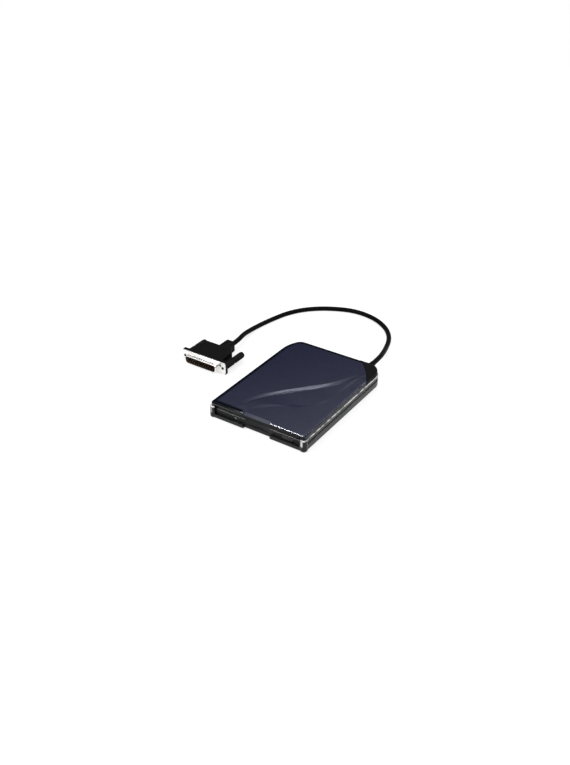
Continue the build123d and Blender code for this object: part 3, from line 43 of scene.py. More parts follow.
viewing_camera = bpy.data.objects.new("viewing_camera", bpy.data.cameras.new("viewing_camera"))
viewing_camera.data.lens = 43.03
viewing_camera.data.sensor_width = 36.0
viewing_camera.location = (0.3933, -0.6131, 0.4745)
aim = Vector((-0.0264, 0.0155, 0.0010))
viewing_camera.rotation_euler = (aim - viewing_camera.location).to_track_quat("-Z", "Y").to_euler()
bpy.context.scene.collection.objects.link(viewing_camera)
bpy.context.scene.camera = viewing_camera

# ---------------------------------------------------------------- interface cable

# One loose bow from the boss of the plug, along the table, up to the strain relief.
cable_route = [
    (-107.5, 36.6, 7.0), (-107.5, 48.6, 7.0), (-112.6, 66.0, 5.0), (-113.8, 83.0, 3.0),
    (-112.0, 100.0, 2.5), (-108.0, 118.0, 2.5), (-102.6, 136.2, 2.5), (-92.2, 152.8, 2.5),
    (-78.0, 165.6, 2.5), (-61.6, 174.8, 2.5), (-46.0, 180.2, 2.5), (-29.6, 180.4, 2.5),
    (-12.6, 175.8, 2.5), (3.4, 165.6, 2.5), (14.4, 153.0, 2.5), (20.8, 140.0, 2.5),
    (24.8, 127.0, 3.2), (29.2, 113.2, 5.8), (33.5, 96.0, 9.0), (33.5, 83.0, 9.0),
]
cable_radius = 2.5

cable_line = bpy.data.curves.new("interface_cable_jacket", "CURVE")
cable_line.dimensions = "3D"
cable_line.bevel_depth = 1.0
cable_line.bevel_resolution = 6
cable_line.resolution_u = 16
cable_run = cable_line.splines.new("NURBS")
cable_run.points.add(len(cable_route) - 1)
for point, (x, y, z) in zip(cable_run.points, cable_route):
    point.co = (x * mm, y * mm, z * mm, 1.0)
    point.radius = cable_radius * mm
cable_run.order_u = 3
cable_run.use_endpoint_u = True
cable = bpy.data.objects.new("interface_cable_jacket", cable_line)
bpy.context.scene.collection.objects.link(cable)
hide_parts("interface_cable")
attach(cable, "housing")

# ---------------------------------------------------------------- shader effects


def linear(red, green, blue):
    """A colour written as 0 to 255 on a screen, as the linear values that a shader takes."""
    share = [channel / 255 for channel in (red, green, blue)]
    return (*[s / 12.92 if s <= 0.04045 else ((s + 0.055) / 1.055) ** 2.4 for s in share], 1.0)


class Bench:
    """A node tree being wired, either of a finish or of a shared effect."""

    def __init__(self, tree):
        self.tree = tree

    def node(self, kind, inputs=None, **settings):
        made = self.tree.nodes.new("ShaderNode" + kind)
        for key, value in settings.items():
            setattr(made, key, value)
        for key, value in (inputs or {}).items():
            if isinstance(value, bpy.types.NodeSocket):
                self.tree.links.new(value, made.inputs[key])
            else:
                made.inputs[key].default_value = value
        return made

    def calc(self, operation, *values, clamp=False):
        return self.node("Math", dict(enumerate(values)), operation=operation, use_clamp=clamp).outputs[0]

    def product(self, first, *others):
        for other in others:
            first = self.calc("MULTIPLY", first, other)
        return first

    def hypotenuse(self, first, second):
        return self.calc("SQRT", self.calc("ADD", self.product(first, first), self.product(second, second)))

    def spread(self, value, low, high, to_low=0.0, to_high=1.0):
        return self.node("MapRange", {"Value": value, "From Min": low, "From Max": high,
                                      "To Min": to_low, "To Max": to_high}).outputs["Result"]

    def blend(self, mask, first, second):
        mixed = self.node("Mix", {"Factor": mask}, data_type="RGBA")
        for socket, value in ((6, first), (7, second)):
            if isinstance(value, bpy.types.NodeSocket):
                self.tree.links.new(value, mixed.inputs[socket])
            else:
                mixed.inputs[socket].default_value = value
        return mixed.outputs[2]

    def traced(self, value, points):
        """A smooth line through a few points, all written from 0 to 1."""
        made = self.node("FloatCurve", {"Value": value})
        line = made.mapping.curves[0]
        line.points[0].location, line.points[1].location = points[0], points[-1]
        for point in points[1:-1]:
            line.points.new(*point)
        made.mapping.update()
        return made.outputs["Value"]

    def vectors(self, operation, *values):
        return self.node("VectorMath", dict(enumerate(values)), operation=operation).outputs

    def place(self):
        return self.node("TexCoord").outputs["Object"]

    def axes(self, vector):
        return self.node("SeparateXYZ", {"Vector": vector}).outputs

    def spot(self):
        """Where the surface is, in metres on the shared axes."""
        return self.axes(self.place())

    def facing(self):
        """Which way the surface faces on the shared axes."""
        return self.axes(self.node("TexCoord").outputs["Normal"])

    def distance_from(self, x, y):
        """The distance from an upright axis, in metres."""
        offset = self.vectors("SUBTRACT", self.place(), (x, y, 0.0))[0]
        level = self.vectors("MULTIPLY", offset, (1.0, 1.0, 0.0))[0]
        return self.vectors("LENGTH", level)["Value"]

    def distance_along(self, direction):
        """The distance from the origin along a direction, in metres times its length."""
        return self.vectors("DOT_PRODUCT", self.place(), direction)["Value"]

    def noise(self, place, scale, detail=2.0, roughness=0.5):
        return self.node("TexNoise", {"Vector": place, "Scale": scale, "Detail": detail,
                                      "Roughness": roughness}).outputs["Fac"]


def shared_effect(name, inputs, outputs):
    """An empty shader group with named sockets: the bench, its inputs and its outputs."""
    group = bpy.data.node_groups.new(name, "ShaderNodeTree")
    for socket, value in inputs.items():
        made = group.interface.new_socket(socket, in_out="INPUT", socket_type="NodeSocketFloat")
        made.default_value = value
    for socket in outputs:
        group.interface.new_socket(socket, in_out="OUTPUT", socket_type="NodeSocketFloat")
    given = group.nodes.new("NodeGroupInput").outputs
    result = group.nodes.new("NodeGroupOutput").inputs
    return group, Bench(group), given, result


# The fine etched grain of moulded plastic, and the slow drift of its tone.
moulded_grain, bench, given, result = shared_effect(
    "moulded_grain", {"Grain Scale": 2600.0}, ["Height", "Tone"])
place = bench.place()
fine = bench.noise(place, given["Grain Scale"], 2.0, 0.6)
pits = bench.node("TexVoronoi", {"Vector": place, "Scale": given["Grain Scale"]}).outputs["Distance"]
bench.tree.links.new(bench.calc("MULTIPLY_ADD", pits, 0.5, fine), result["Height"])
bench.tree.links.new(bench.spread(bench.noise(place, 22.0, 3.0), 0.35, 0.65), result["Tone"])

# Rubbed edges: the mask is 1 on sharp and rounded edges, broken up by hand wear.
rubbed_edge, bench, given, result = shared_effect(
    "rubbed_edge", {"Reach": 0.0006, "Break Up": 160.0}, ["Mask"])
rounded = bench.node("Bevel", {"Radius": given["Reach"]}, samples=4).outputs["Normal"]
agreement = bench.vectors("DOT_PRODUCT", rounded, bench.node("NewGeometry").outputs["Normal"])["Value"]
edge = bench.spread(agreement, 0.995, 0.90)
patches = bench.spread(bench.noise(bench.place(), given["Break Up"], 3.0), 0.35, 0.6)
bench.tree.links.new(bench.product(edge, patches), result["Mask"])

# Dust that has settled on what faces up.
settled_dust, bench, given, result = shared_effect("settled_dust", {"Amount": 0.2}, ["Mask"])
upward = bench.spread(bench.facing()["Z"], 0.5, 1.0)
clouds = bench.spread(bench.noise(bench.place(), 70.0, 4.0, 0.65), 0.35, 0.75)
specks = bench.spread(bench.noise(bench.place(), 1500.0, 1.0), 0.68, 0.78)
dust = bench.product(upward, bench.calc("ADD", clouds, specks))
bench.tree.links.new(bench.calc("MULTIPLY", dust, given["Amount"], clamp=True), result["Mask"])

# Handling scuffs: thin crossing lines that only show in the gloss.
hand_scuffs, bench, given, result = shared_effect("hand_scuffs", {"Density": 60.0}, ["Mask"])
place = bench.place()
marks = []
for turn, stretch in ((0.5, 14.0), (-0.7, 10.0)):
    drawn = bench.node("Mapping", {"Vector": place, "Rotation": (0, 0, turn),
                                   "Scale": (1.0, stretch, 1.0)}).outputs["Vector"]
    marks.append(bench.spread(bench.noise(drawn, given["Density"], 5.0, 0.7), 0.62, 0.72))
bench.tree.links.new(bench.calc("MAXIMUM", *marks), result["Mask"])

# Lines that rolling or brushing leaves in metal, drawn along one axis.
rolled_lines, bench, given, result = shared_effect("rolled_lines", {"Fineness": 900.0}, ["Height", "Tone"])
place = bench.place()
drawn = bench.node("Mapping", {"Vector": place, "Scale": (1.0, 0.03, 1.0)}).outputs["Vector"]
bench.tree.links.new(bench.noise(drawn, given["Fineness"], 3.0, 0.6), result["Height"])
bench.tree.links.new(bench.spread(bench.noise(place, 55.0, 3.0), 0.3, 0.7), result["Tone"])

# ---------------------------------------------------------------- finishes

dust_colour = linear(128, 126, 120)


def new_finish(name, metallic=0.0, specular=0.5):
    """A material with its shader in place, and the bench to wire the rest on."""
    finish = bpy.data.materials.new(name)
    finish.use_nodes = True
    finish.node_tree.nodes.clear()
    bench = Bench(finish.node_tree)
    shader = bench.node("BsdfPrincipled", {"Metallic": metallic, "Specular IOR Level": specular})
    bench.node("OutputMaterial", {"Surface": shader.outputs[0]})
    return finish, bench, shader


def add_effect(bench, group, **values):
    placed = bench.node("Group", node_tree=group)
    for key, value in values.items():
        placed.inputs[key.replace("_", " ")].default_value = value
    return placed.outputs


def wire(bench, shader, colour, roughness, height=None, relief=0.05, distance=0.0001, under=None):
    """Links the shader's inputs. A height becomes a bump, and the normal under it is kept."""
    bench.tree.links.new(colour, shader.inputs["Base Color"])
    bench.tree.links.new(roughness, shader.inputs["Roughness"])
    if height is not None:
        bump = bench.node("Bump", {"Height": height, "Strength": relief, "Distance": distance})
        bench.tree.links.new(bump.outputs["Normal"], shader.inputs["Normal"])
        if under is not None:
            bench.tree.links.new(under, bump.inputs["Normal"])


def moulded_plastic(name, dark, light, worn, gloss=0.42, specular=0.3, grain=2600.0, relief=0.25,
                    dust=0.015, wear=0.3):
    """Textured plastic: two close tones, rubbed edges, scuffs in the gloss and a little dust."""
    finish, bench, shader = new_finish(name, specular=specular)
    grained = add_effect(bench, moulded_grain, Grain_Scale=grain)
    edges = add_effect(bench, rubbed_edge)["Mask"]
    scuffs = add_effect(bench, hand_scuffs)["Mask"]
    lying = add_effect(bench, settled_dust, Amount=dust)["Mask"]
    body = bench.blend(grained["Tone"], linear(*dark), linear(*light))
    rubbed = bench.blend(bench.product(edges, wear), body, linear(*worn))
    colour = bench.blend(lying, rubbed, dust_colour)
    polished = bench.calc("MULTIPLY_ADD", edges, -0.12, gloss)
    scuffed = bench.calc("MULTIPLY_ADD", scuffs, 0.10, polished)
    roughness = bench.calc("MULTIPLY_ADD", lying, 0.3, scuffed)
    wire(bench, shader, colour, roughness, grained["Height"], relief)
    return finish


def metal(name, dark, light, gloss=0.28, fineness=900.0, relief=0.12, wear=0.3):
    """Bare or plated metal with the fine lines of its rolling."""
    finish, bench, shader = new_finish(name, metallic=1.0)
    rolled = add_effect(bench, rolled_lines, Fineness=fineness)
    edges = add_effect(bench, rubbed_edge, Reach=0.0003)["Mask"]
    body = bench.blend(rolled["Tone"], linear(*dark), linear(*light))
    colour = bench.blend(bench.product(edges, wear), body, linear(235, 235, 232))
    roughness = bench.calc("MULTIPLY_ADD", rolled["Tone"], 0.10, gloss)
    wire(bench, shader, colour, roughness, rolled["Height"], relief)
    return finish


# The cover: pearl navy on the broad top, painted near black where it turns down to the sides: painted
# shade.
cover_finish, bench, shader = new_finish("navy_pearl_cover", specular=0.24)
shader.inputs["Specular Tint"].default_value = (0.72, 0.78, 1.0, 1.0)
grained = add_effect(bench, moulded_grain, Grain_Scale=3200.0)
edges = add_effect(bench, rubbed_edge, Reach=0.0005)["Mask"]
scuffs = add_effect(bench, hand_scuffs, Density=45.0)["Mask"]
lying = add_effect(bench, settled_dust, Amount=0.006)["Mask"]
spot = bench.spot()
facing = bench.facing()

# The pearl stops short of the left, back and front left edges, and a dark border, metallic in the shader,
# is painted along them:
# painted shade where the rounded edge turns away. The top ends at these lines, and a quarter circle round
# the sweep centre cuts its back left corner. The front part of the border ends where the thumb scoop does.
top_left, top_back, top_front = -0.0510, 0.0700, -0.0700
sweep_x, sweep_y, sweep_radius = -0.0155, 0.0470, 0.0355
scoop_end, scoop_fade = -0.0168, 0.0004
sweep_fade = 0.0005
far_off = 1.0
rim_outer, rim_inner = 0.0036, 0.0050
left_of_scoop_end = bench.spread(spot["X"], scoop_end + scoop_fade, scoop_end - scoop_fade)
past_sweep = bench.calc("ADD", bench.spread(spot["Y"], sweep_y, sweep_y + sweep_fade, far_off, 0.0),
                        bench.spread(spot["X"], sweep_x - sweep_fade, sweep_x, 0.0, far_off))
inside_sweep = bench.calc("SUBTRACT", sweep_radius, bench.distance_from(sweep_x, sweep_y))
to_sweep = bench.calc("ADD", inside_sweep, past_sweep)
to_left = bench.calc("SUBTRACT", spot["X"], top_left)
to_back = bench.calc("SUBTRACT", top_back, spot["Y"])
front_reach = bench.spread(left_of_scoop_end, 0.0, 1.0, far_off, -top_front)
to_front = bench.calc("ADD", spot["Y"], front_reach)
to_side = bench.calc("MINIMUM", bench.calc("MINIMUM", to_left, to_sweep), to_front)
to_edge = bench.calc("SMOOTH_MIN", to_side, to_back, 0.006)
# Painted shade: the dark border along the edges of the top.
rim = bench.spread(to_edge, rim_inner, rim_outer)
bench.tree.links.new(rim, shader.inputs["Metallic"])
top = bench.product(bench.spread(facing["Z"], 0.55, 0.90), bench.calc("SUBTRACT", 1.0, rim))

flakes = bench.node("TexVoronoi", {"Vector": bench.place(), "Scale": 9000.0}).outputs["Color"]
flake = bench.spread(bench.axes(flakes)["X"], 0.80, 1.0, 0.0, 0.20)
pearl = bench.blend(flake, linear(12, 14, 34), linear(44, 50, 88))
navy = bench.blend(bench.product(grained["Tone"], 0.5), pearl, linear(15, 18, 39))
# Painted shade: where the cover turns down to the sides, and along the dark rim, its colour is near black.
body = bench.blend(top, linear(3, 3, 4), navy)
rubbed = bench.blend(bench.product(edges, 0.05), body, linear(80, 84, 98))
colour = bench.blend(lying, rubbed, dust_colour)
roughness = bench.calc("MULTIPLY_ADD", scuffs, 0.03, bench.spread(top, 0.0, 1.0, 0.22, 0.17))

# The crease is softly rounded across its slope, and the rise behind it is softened. The curves run
# from one end of the crease to the other. Lengths are in millimetres: crease_x and crease_y are the
# direction of the crease, times 1000.
crease_x, crease_y = 533.0, 846.0
crease_start, crease_end = -60.65, 57.52
crest_nearest, crest_swing = 3.0, 8.0
slope_width, slope_middle = 5.0, 2.2
longest_rise = 40.0
rounding_size, softening_size = 0.0072, -0.80
along = bench.distance_along((crease_x, crease_y, 0.0))
across = bench.distance_along((crease_y, -crease_x, 0.0))
run = bench.spread(along, crease_start, crease_end)
crest_curve = bench.traced(run, [(0, 0.488), (0.286, 0.059), (0.489, 0.469), (0.685, 0.890), (1, 0.486)])
strength = bench.traced(run, [(0, 0.06), (0.286, 0.7), (0.489, 1.0), (0.685, 0.8), (1, 0.06)])
rise_curve = bench.traced(run, [(0, 0.35), (0.286, 0.65), (0.489, 0.80), (0.685, 0.55), (1, 0.175)])
crest = bench.calc("MULTIPLY_ADD", crest_curve, crest_swing, crest_nearest)
from_crest = bench.calc("SUBTRACT", across, crest)
down_slope = bench.spread(from_crest, 0.0, slope_width, 0.0, slope_width)
off_middle = bench.calc("SUBTRACT", down_slope, slope_middle)
rounded = bench.product(off_middle, off_middle, off_middle, rounding_size)
rise_end = bench.product(rise_curve, longest_rise)
softened = bench.spread(from_crest, slope_width, rise_end, 0.0, softening_size)
eased = bench.product(bench.calc("ADD", rounded, softened), strength)
rounding = bench.node("Bump", {"Height": eased, "Strength": 1.0, "Distance": 0.001}).outputs["Normal"]
wire(bench, shader, colour, roughness, grained["Height"], 0.10, under=rounding)

# Fingers keep the front edge polished: its rounded top on the right, and the thumb scoop on the left.
front = bench.spread(facing["Y"], -0.22, -0.40)
edge_coat = bench.product(bench.spread(facing["Z"], 0.20, 0.35),
                          bench.spread(spot["X"], -0.030, 0.0, 0.1, 1.0))
scoop_coat = bench.product(bench.spread(facing["Z"], 0.30, 0.15), left_of_scoop_end)
polish = bench.product(front, bench.calc("MAXIMUM", edge_coat, scoop_coat))
bench.tree.links.new(polish, shader.inputs["Coat Weight"])
shader.inputs["Coat Roughness"].default_value = 0.16

base_finish = moulded_plastic("charcoal_base", (6, 6, 8), (9, 9, 11), (70, 70, 74), gloss=0.20,
                              specular=0.30, dust=0.006)
# Painted highlights: the rounded front corners, more on the right, and the ledge round the cover are
# lightened where lamps would catch them.
bench = Bench(base_finish.node_tree)
shader = next(node for node in base_finish.node_tree.nodes if node.type == "BSDF_PRINCIPLED")
body = shader.inputs["Base Color"].links[0].from_socket
spot = bench.spot()
facing = bench.facing()
front_start, front_end = -0.0672, -0.0706
cheek_start, cheek_end = 0.0470, 0.0492
highlight_middle, highlight_half_low, highlight_half_high = 0.0092, 0.0020, 0.0036
below_ledge, on_ledge = 0.0098, 0.0106
near_front = bench.spread(spot["Y"], front_start, front_end)
near_side = bench.spread(bench.calc("ABSOLUTE", spot["X"]), cheek_start, cheek_end)
turned_left = bench.spread(facing["X"], 0.35, -0.05)
off_highlight_middle = bench.calc("ABSOLUTE", bench.calc("SUBTRACT", spot["Z"], highlight_middle))
highlight_band = bench.spread(off_highlight_middle, highlight_half_high, highlight_half_low)
more_on_right = bench.spread(spot["X"], -0.05, 0.05, 0.35, 1.0)
corners = bench.product(near_front, near_side, turned_left, highlight_band, more_on_right)
ledge = bench.product(bench.spread(facing["Z"], 0.3, 0.7), bench.spread(spot["Z"], below_ledge, on_ledge))
broken = bench.spread(bench.noise(bench.place(), 210.0, 3.0), 0.40, 0.58, 0.25, 0.95)
# Painted highlight: the corners and the ledge are lightened to near white.
painted_highlight = bench.calc("MAXIMUM", corners, bench.product(ledge, broken))
bench.tree.links.new(bench.blend(painted_highlight, body, linear(206, 206, 208)), shader.inputs["Base Color"])

corner_finish = moulded_plastic("matt_black_corner", (4, 4, 5), (6, 6, 7), (44, 44, 48), gloss=0.50,
                                specular=0.04, dust=0.004)
bezel_finish = moulded_plastic("black_bezel", (20, 20, 21), (26, 26, 27), (74, 74, 78), gloss=0.34,
                               specular=0.15, grain=3400.0)
door_finish = moulded_plastic("black_slot_door", (9, 9, 10), (13, 13, 15), (90, 90, 94), gloss=0.30,
                              specular=0.15, grain=3800.0, relief=0.12)
button_finish = moulded_plastic("eject_button_grey", (22, 22, 25), (27, 27, 31), (84, 84, 88), gloss=0.34)
hood_finish = moulded_plastic("black_plug_hood", (3, 3, 4), (6, 6, 7), (74, 74, 78), gloss=0.36,
                              specular=0.04, relief=0.12, dust=0.003)
thumb_finish = moulded_plastic("black_thumbscrew", (3, 3, 4), (6, 6, 7), (60, 60, 64), gloss=0.36,
                               specular=0.05, relief=0.1, dust=0.002)
jacket_finish = moulded_plastic("black_cable_jacket", (3, 3, 4), (6, 6, 7), (30, 30, 32), gloss=0.46,
                                specular=0.03, grain=1400.0, relief=0.12, dust=0.002, wear=0.0)
rubber_finish = moulded_plastic("foot_rubber", (26, 26, 27), (34, 34, 35), (70, 70, 70), gloss=0.78,
                                specular=0.2, grain=1800.0, relief=0.5)
lever_finish = moulded_plastic("natural_nylon_lever", (214, 208, 190), (224, 219, 203), (235, 232, 222),
                               gloss=0.38, grain=2000.0, dust=0.02)
carriage_finish = moulded_plastic("glass_filled_carriage", (58, 60, 64), (74, 76, 80), (120, 122, 126),
                                  gloss=0.5, grain=1500.0, relief=0.4, dust=0.02)
chip_finish = moulded_plastic("moulded_chip", (24, 24, 25), (32, 32, 33), (74, 74, 74), gloss=0.6,
                              grain=4200.0, relief=0.3, dust=0.03)
switch_finish = moulded_plastic("switch_black", (18, 18, 20), (24, 24, 26), (90, 90, 90), gloss=0.4)
magnet_finish = moulded_plastic("ferrite_magnet", (48, 46, 46), (60, 57, 56), (110, 108, 106), gloss=0.6,
                                grain=1200.0, relief=0.5, dust=0.0)
insulator_finish = moulded_plastic("plug_insulator_black", (8, 7, 7), (12, 10, 9), (50, 50, 52), gloss=0.42,
                                   specular=0.15, dust=0.0)

tray_finish = metal("zinc_plated_tray", (158, 160, 162), (188, 190, 192), gloss=0.34, fineness=500.0)
slider_finish = metal("zinc_plated_slider", (150, 152, 154), (182, 184, 186), gloss=0.30)
holder_finish = metal("stainless_cradle", (168, 168, 168), (192, 192, 190), gloss=0.24, fineness=1200.0)
screw_finish = metal("screw_zinc", (136, 138, 140), (170, 172, 174), gloss=0.30)
bright_finish = metal("ground_steel", (190, 190, 190), (214, 214, 212), gloss=0.14, relief=0.05)
spring_finish = metal("spring_wire", (120, 118, 114), (160, 158, 152), gloss=0.25)
bronze_finish = metal("sintered_bronze", (140, 98, 52), (170, 124, 72), gloss=0.42, relief=0.3)
# The pins are coloured dark brown: painted shade inside the D shell.
shaded_gold_finish = metal("gold_flashed_pin_painted_shade", (62, 42, 24), (88, 60, 34), gloss=0.30, relief=0.03, wear=0.0)

# Nickel-plated plug plate and D shell, with the row of pressed dimples on both broad faces of the
# shell, and one ground rivet beside the shell on the broad face of the plate. The dimples and the rivet are
# painted near black: painted shade. In millimetres.
plug_x, plug_z = -110.3, 7.0
dimple_pitch, dimple_row_y, dimple_row_half = 2.77, -8.2, 16.6
rivet_right, rivet_z = 20.6, 9.4
pitches_and_a_half = 50.5
plate_finish, bench, shader = new_finish("nickel_plug_plate", metallic=1.0)
rolled = add_effect(bench, rolled_lines, Fineness=1400.0)
edges = add_effect(bench, rubbed_edge, Reach=0.0003)["Mask"]
spot = bench.spot()
from_middle = bench.calc("MULTIPLY_ADD", spot["X"], 1 / mm, -plug_x)
pitches = bench.calc("MULTIPLY_ADD", from_middle, 1 / dimple_pitch, pitches_and_a_half)
place_in_row = bench.calc("FRACT", pitches)
dimple_x = bench.product(bench.calc("SUBTRACT", place_in_row, 0.5), dimple_pitch)
dimple_y = bench.calc("MULTIPLY_ADD", spot["Y"], 1 / mm, -dimple_row_y)
within = bench.calc("LESS_THAN", bench.calc("ABSOLUTE", from_middle), dimple_row_half)
flat = bench.spread(bench.calc("ABSOLUTE", bench.facing()["Z"]), 0.9, 0.97)
dimple = bench.product(bench.spread(bench.hypotenuse(dimple_x, dimple_y), 0.95, 0.45), within, flat)
rivet_off = bench.hypotenuse(bench.calc("SUBTRACT", from_middle, rivet_right),
                             bench.calc("MULTIPLY_ADD", spot["Z"], 1 / mm, -rivet_z))
pressed = bench.calc("MAXIMUM", dimple, bench.spread(rivet_off, 1.35, 1.05))
silver = bench.blend(rolled["Tone"], linear(226, 226, 224), linear(244, 244, 242))
bright = bench.blend(bench.product(edges, 0.5), silver, linear(250, 250, 248))
# Painted shade: near black in the dimples and on the rivet.
colour = bench.blend(pressed, bright, linear(20, 20, 21))
height = bench.calc("MULTIPLY_ADD", pressed, -4.0, rolled["Height"])
wire(bench, shader, colour, bench.calc("MULTIPLY_ADD", rolled["Tone"], 0.08, 0.26), height, 0.3)

# The lamp window: a clear lens over a lamp that is off.
lamp_finish, bench, shader = new_finish("smoked_green_lamp")
grained = add_effect(bench, moulded_grain, Grain_Scale=1800.0)
colour = bench.blend(grained["Tone"], linear(20, 34, 24), linear(28, 46, 32))
wire(bench, shader, colour, bench.spread(grained["Tone"], 0.0, 1.0, 0.10, 0.16), grained["Height"], 0.05)

# Circuit board: solder mask over copper tracks, with a scatter of plated holes.
board_finish, bench, shader = new_finish("green_circuit_board")
place = bench.place()
bars = []
for size, offset in (((1.0, 0.16, 1.0), 0.0), ((0.16, 1.0, 1.0), 3.0)):
    drawn = bench.node("Mapping", {"Vector": place, "Scale": size,
                                   "Location": (offset, offset, 0)}).outputs["Vector"]
    cells = bench.node("TexVoronoi", {"Vector": drawn, "Scale": 420.0, "Randomness": 0.55},
                       distance="CHEBYCHEV", feature="F1").outputs["Distance"]
    bars.append(bench.spread(cells, 0.22, 0.18))
tracks = bench.calc("MAXIMUM", *bars)
holes = bench.node("TexVoronoi", {"Vector": place, "Scale": 190.0, "Randomness": 0.8}).outputs["Distance"]
ring = bench.spread(holes, 0.13, 0.11)
bore = bench.spread(holes, 0.07, 0.055)
mask_green = bench.blend(tracks, linear(16, 66, 40), linear(30, 96, 58))
tinned = bench.blend(ring, mask_green, linear(188, 186, 176))
# The bores of the holes are painted near black: painted shade.
colour = bench.blend(bore, tinned, linear(20, 20, 20))
roughness = bench.spread(tracks, 0.0, 1.0, 0.34, 0.28)
wire(bench, shader, colour, roughness, bench.calc("SUBTRACT", tracks, bore), 0.5)

# Stacked laminations of the stator.
core_finish, bench, shader = new_finish("stacked_laminations", metallic=0.9)
rolled = add_effect(bench, rolled_lines, Fineness=900.0)
half_sheet = 0.2
sheets = bench.calc("PINGPONG", bench.product(bench.spot()["Z"], 1 / mm), half_sheet)
seam = bench.spread(sheets, 0.02, 0.05)
steel = bench.blend(rolled["Tone"], linear(108, 104, 100), linear(134, 130, 124))
colour = bench.blend(seam, linear(42, 38, 36), steel)
wire(bench, shader, colour, bench.spread(rolled["Tone"], 0.0, 1.0, 0.35, 0.5), seam, 0.4)

# Enamelled copper wire, laid turn beside turn round each tooth.
spindle_y = -0.0168
wire_radius = 0.11
coil_finish, bench, shader = new_finish("enamelled_copper", metallic=0.85)
turns = bench.calc("PINGPONG", bench.product(bench.distance_from(0.0, spindle_y), 1 / mm), wire_radius)
wire_crest = bench.spread(turns, 0.0, wire_radius)
# The valleys between turns are coloured darker than the crests: painted shade.
colour = bench.blend(wire_crest, linear(92, 40, 18), linear(196, 106, 54))
wire(bench, shader, colour, bench.spread(wire_crest, 0.0, 1.0, 0.5, 0.26), wire_crest, 0.8)


def ribbon(name, film, conductor, centre, pitch):
    """A flat ribbon: conductors under a polyimide or grey film."""
    finish, bench, shader = new_finish(name)
    whole_pitches = 500.0
    side = bench.calc("MULTIPLY_ADD", bench.spot()["X"], 1 / mm, whole_pitches - centre)
    lane = bench.calc("PINGPONG", side, pitch / 2)
    wire_mask = bench.spread(lane, pitch * 0.22, pitch * 0.30)
    grained = add_effect(bench, moulded_grain, Grain_Scale=900.0)
    colour = bench.blend(bench.product(wire_mask, 0.8), linear(*film), linear(*conductor))
    wire(bench, shader, colour, bench.spread(grained["Tone"], 0.0, 1.0, 0.24, 0.34), wire_mask, 0.4)
    return finish


amber_ribbon_finish = ribbon("amber_film_ribbon", (150, 92, 26), (196, 140, 66), -3.0, 0.8)
grey_ribbon_finish = ribbon("grey_flat_ribbon", (150, 152, 156), (196, 198, 200), -34.0, 1.0)

# Lapped ceramic of the heads, with the glass line of the gap.
head_finish, bench, shader = new_finish("lapped_head_ceramic", specular=0.6)
grained = add_effect(bench, moulded_grain, Grain_Scale=1200.0)
core_line = bench.spread(bench.calc("ABSOLUTE", bench.spot()["X"]), 0.30 * mm, 0.24 * mm)
ceramic = bench.blend(grained["Tone"], linear(196, 190, 176), linear(208, 203, 190))
colour = bench.blend(core_line, ceramic, linear(46, 40, 38))
wire(bench, shader, colour, bench.spread(grained["Tone"], 0.0, 1.0, 0.08, 0.14))

# The helical groove rolled into the lead screw.
lead_screw_x, lead_screw_z, lead = 0.016, 0.0086, 3.75
whole_turns = 10.0
lead_screw_finish, bench, shader = new_finish("rolled_lead_screw", metallic=1.0)
spot = bench.spot()
angle = bench.calc("ARCTAN2", bench.calc("SUBTRACT", spot["Z"], lead_screw_z),
                   bench.calc("SUBTRACT", spot["X"], lead_screw_x))
winding = bench.calc("ADD", bench.product(spot["Y"], 1 / mm / lead),
                     bench.calc("MULTIPLY_ADD", angle, 0.5 / math.pi, whole_turns))
groove = bench.spread(bench.calc("PINGPONG", winding, 0.5), 0.16, 0.06)
# The groove is coloured darker than the crests: painted shade.
colour = bench.blend(groove, linear(196, 196, 194), linear(110, 108, 104))
wire(bench, shader, colour, bench.spread(groove, 0.0, 1.0, 0.16, 0.4),
     bench.calc("SUBTRACT", 1.0, groove), 1.0, 0.0004)

finish_of_node = {
    "base_housing": base_finish, "top_cover": cover_finish, "cable_corner": corner_finish,
    "rubber_feet": rubber_finish, "cover_screws": screw_finish, "mechanism_screws": screw_finish,
    "front_bezel": bezel_finish, "led_window": lamp_finish, "slot_door": door_finish,
    "door_spring": spring_finish, "eject_button": button_finish, "eject_slider": slider_finish,
    "eject_springs": spring_finish, "disk_holder": holder_finish, "shutter_lever": lever_finish,
    "lever_spring": spring_finish, "chassis_tray": tray_finish, "shield_plate": tray_finish,
    "shield_screws": screw_finish, "motor_board": board_finish, "stator_core": core_finish,
    "stator_coils": coil_finish, "bearing_sleeve": bronze_finish, "spindle_rotor": slider_finish,
    "rotor_magnet": magnet_finish, "hub_table": bright_finish, "drive_pin": bright_finish,
    "screw_bracket": tray_finish, "stepper_motor": slider_finish, "lead_screw": lead_screw_finish,
    "guide_rod": bright_finish, "rod_clamps": carriage_finish, "head_carriage": carriage_finish,
    "lower_head": head_finish, "upper_arm": holder_finish, "upper_head": head_finish,
    "arm_pin": bright_finish, "arm_spring": spring_finish, "head_flex": amber_ribbon_finish,
    "track_sensor": switch_finish, "main_board": board_finish, "board_chips": chip_finish,
    "switch_bodies": switch_finish, "write_plunger": lever_finish, "disk_plunger": lever_finish,
    "density_plunger": lever_finish, "interface_board": board_finish, "interface_chips": chip_finish,
    "signal_ribbon": grey_ribbon_finish, "strain_relief": jacket_finish, "cable_tail": jacket_finish,
    "interface_cable": jacket_finish, "connector_shell": plate_finish,
    "connector_insulator": insulator_finish, "connector_pins": shaded_gold_finish, "connector_hood": hood_finish,
    "thumbscrew_left": thumb_finish, "thumbscrew_right": thumb_finish,
}
for name, finish in finish_of_node.items():
    nodes[name].data.materials.clear()
    nodes[name].data.materials.append(finish)
cable.data.materials.append(jacket_finish)

# ---------------------------------------------------------------- small pieces on the plug

jackscrew_reach = 47.04 / 2
grip_radius, grip_count, grip_height = 3.08, 22, 0.32


def add_piece(name, mesh, finish, body):
    """Links a finished mesh as a piece of the object and hangs it on its body."""
    piece = bpy.data.objects.new(name, mesh)
    bpy.context.scene.collection.objects.link(piece)
    mesh.materials.append(finish)
    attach(piece, body)
    return piece


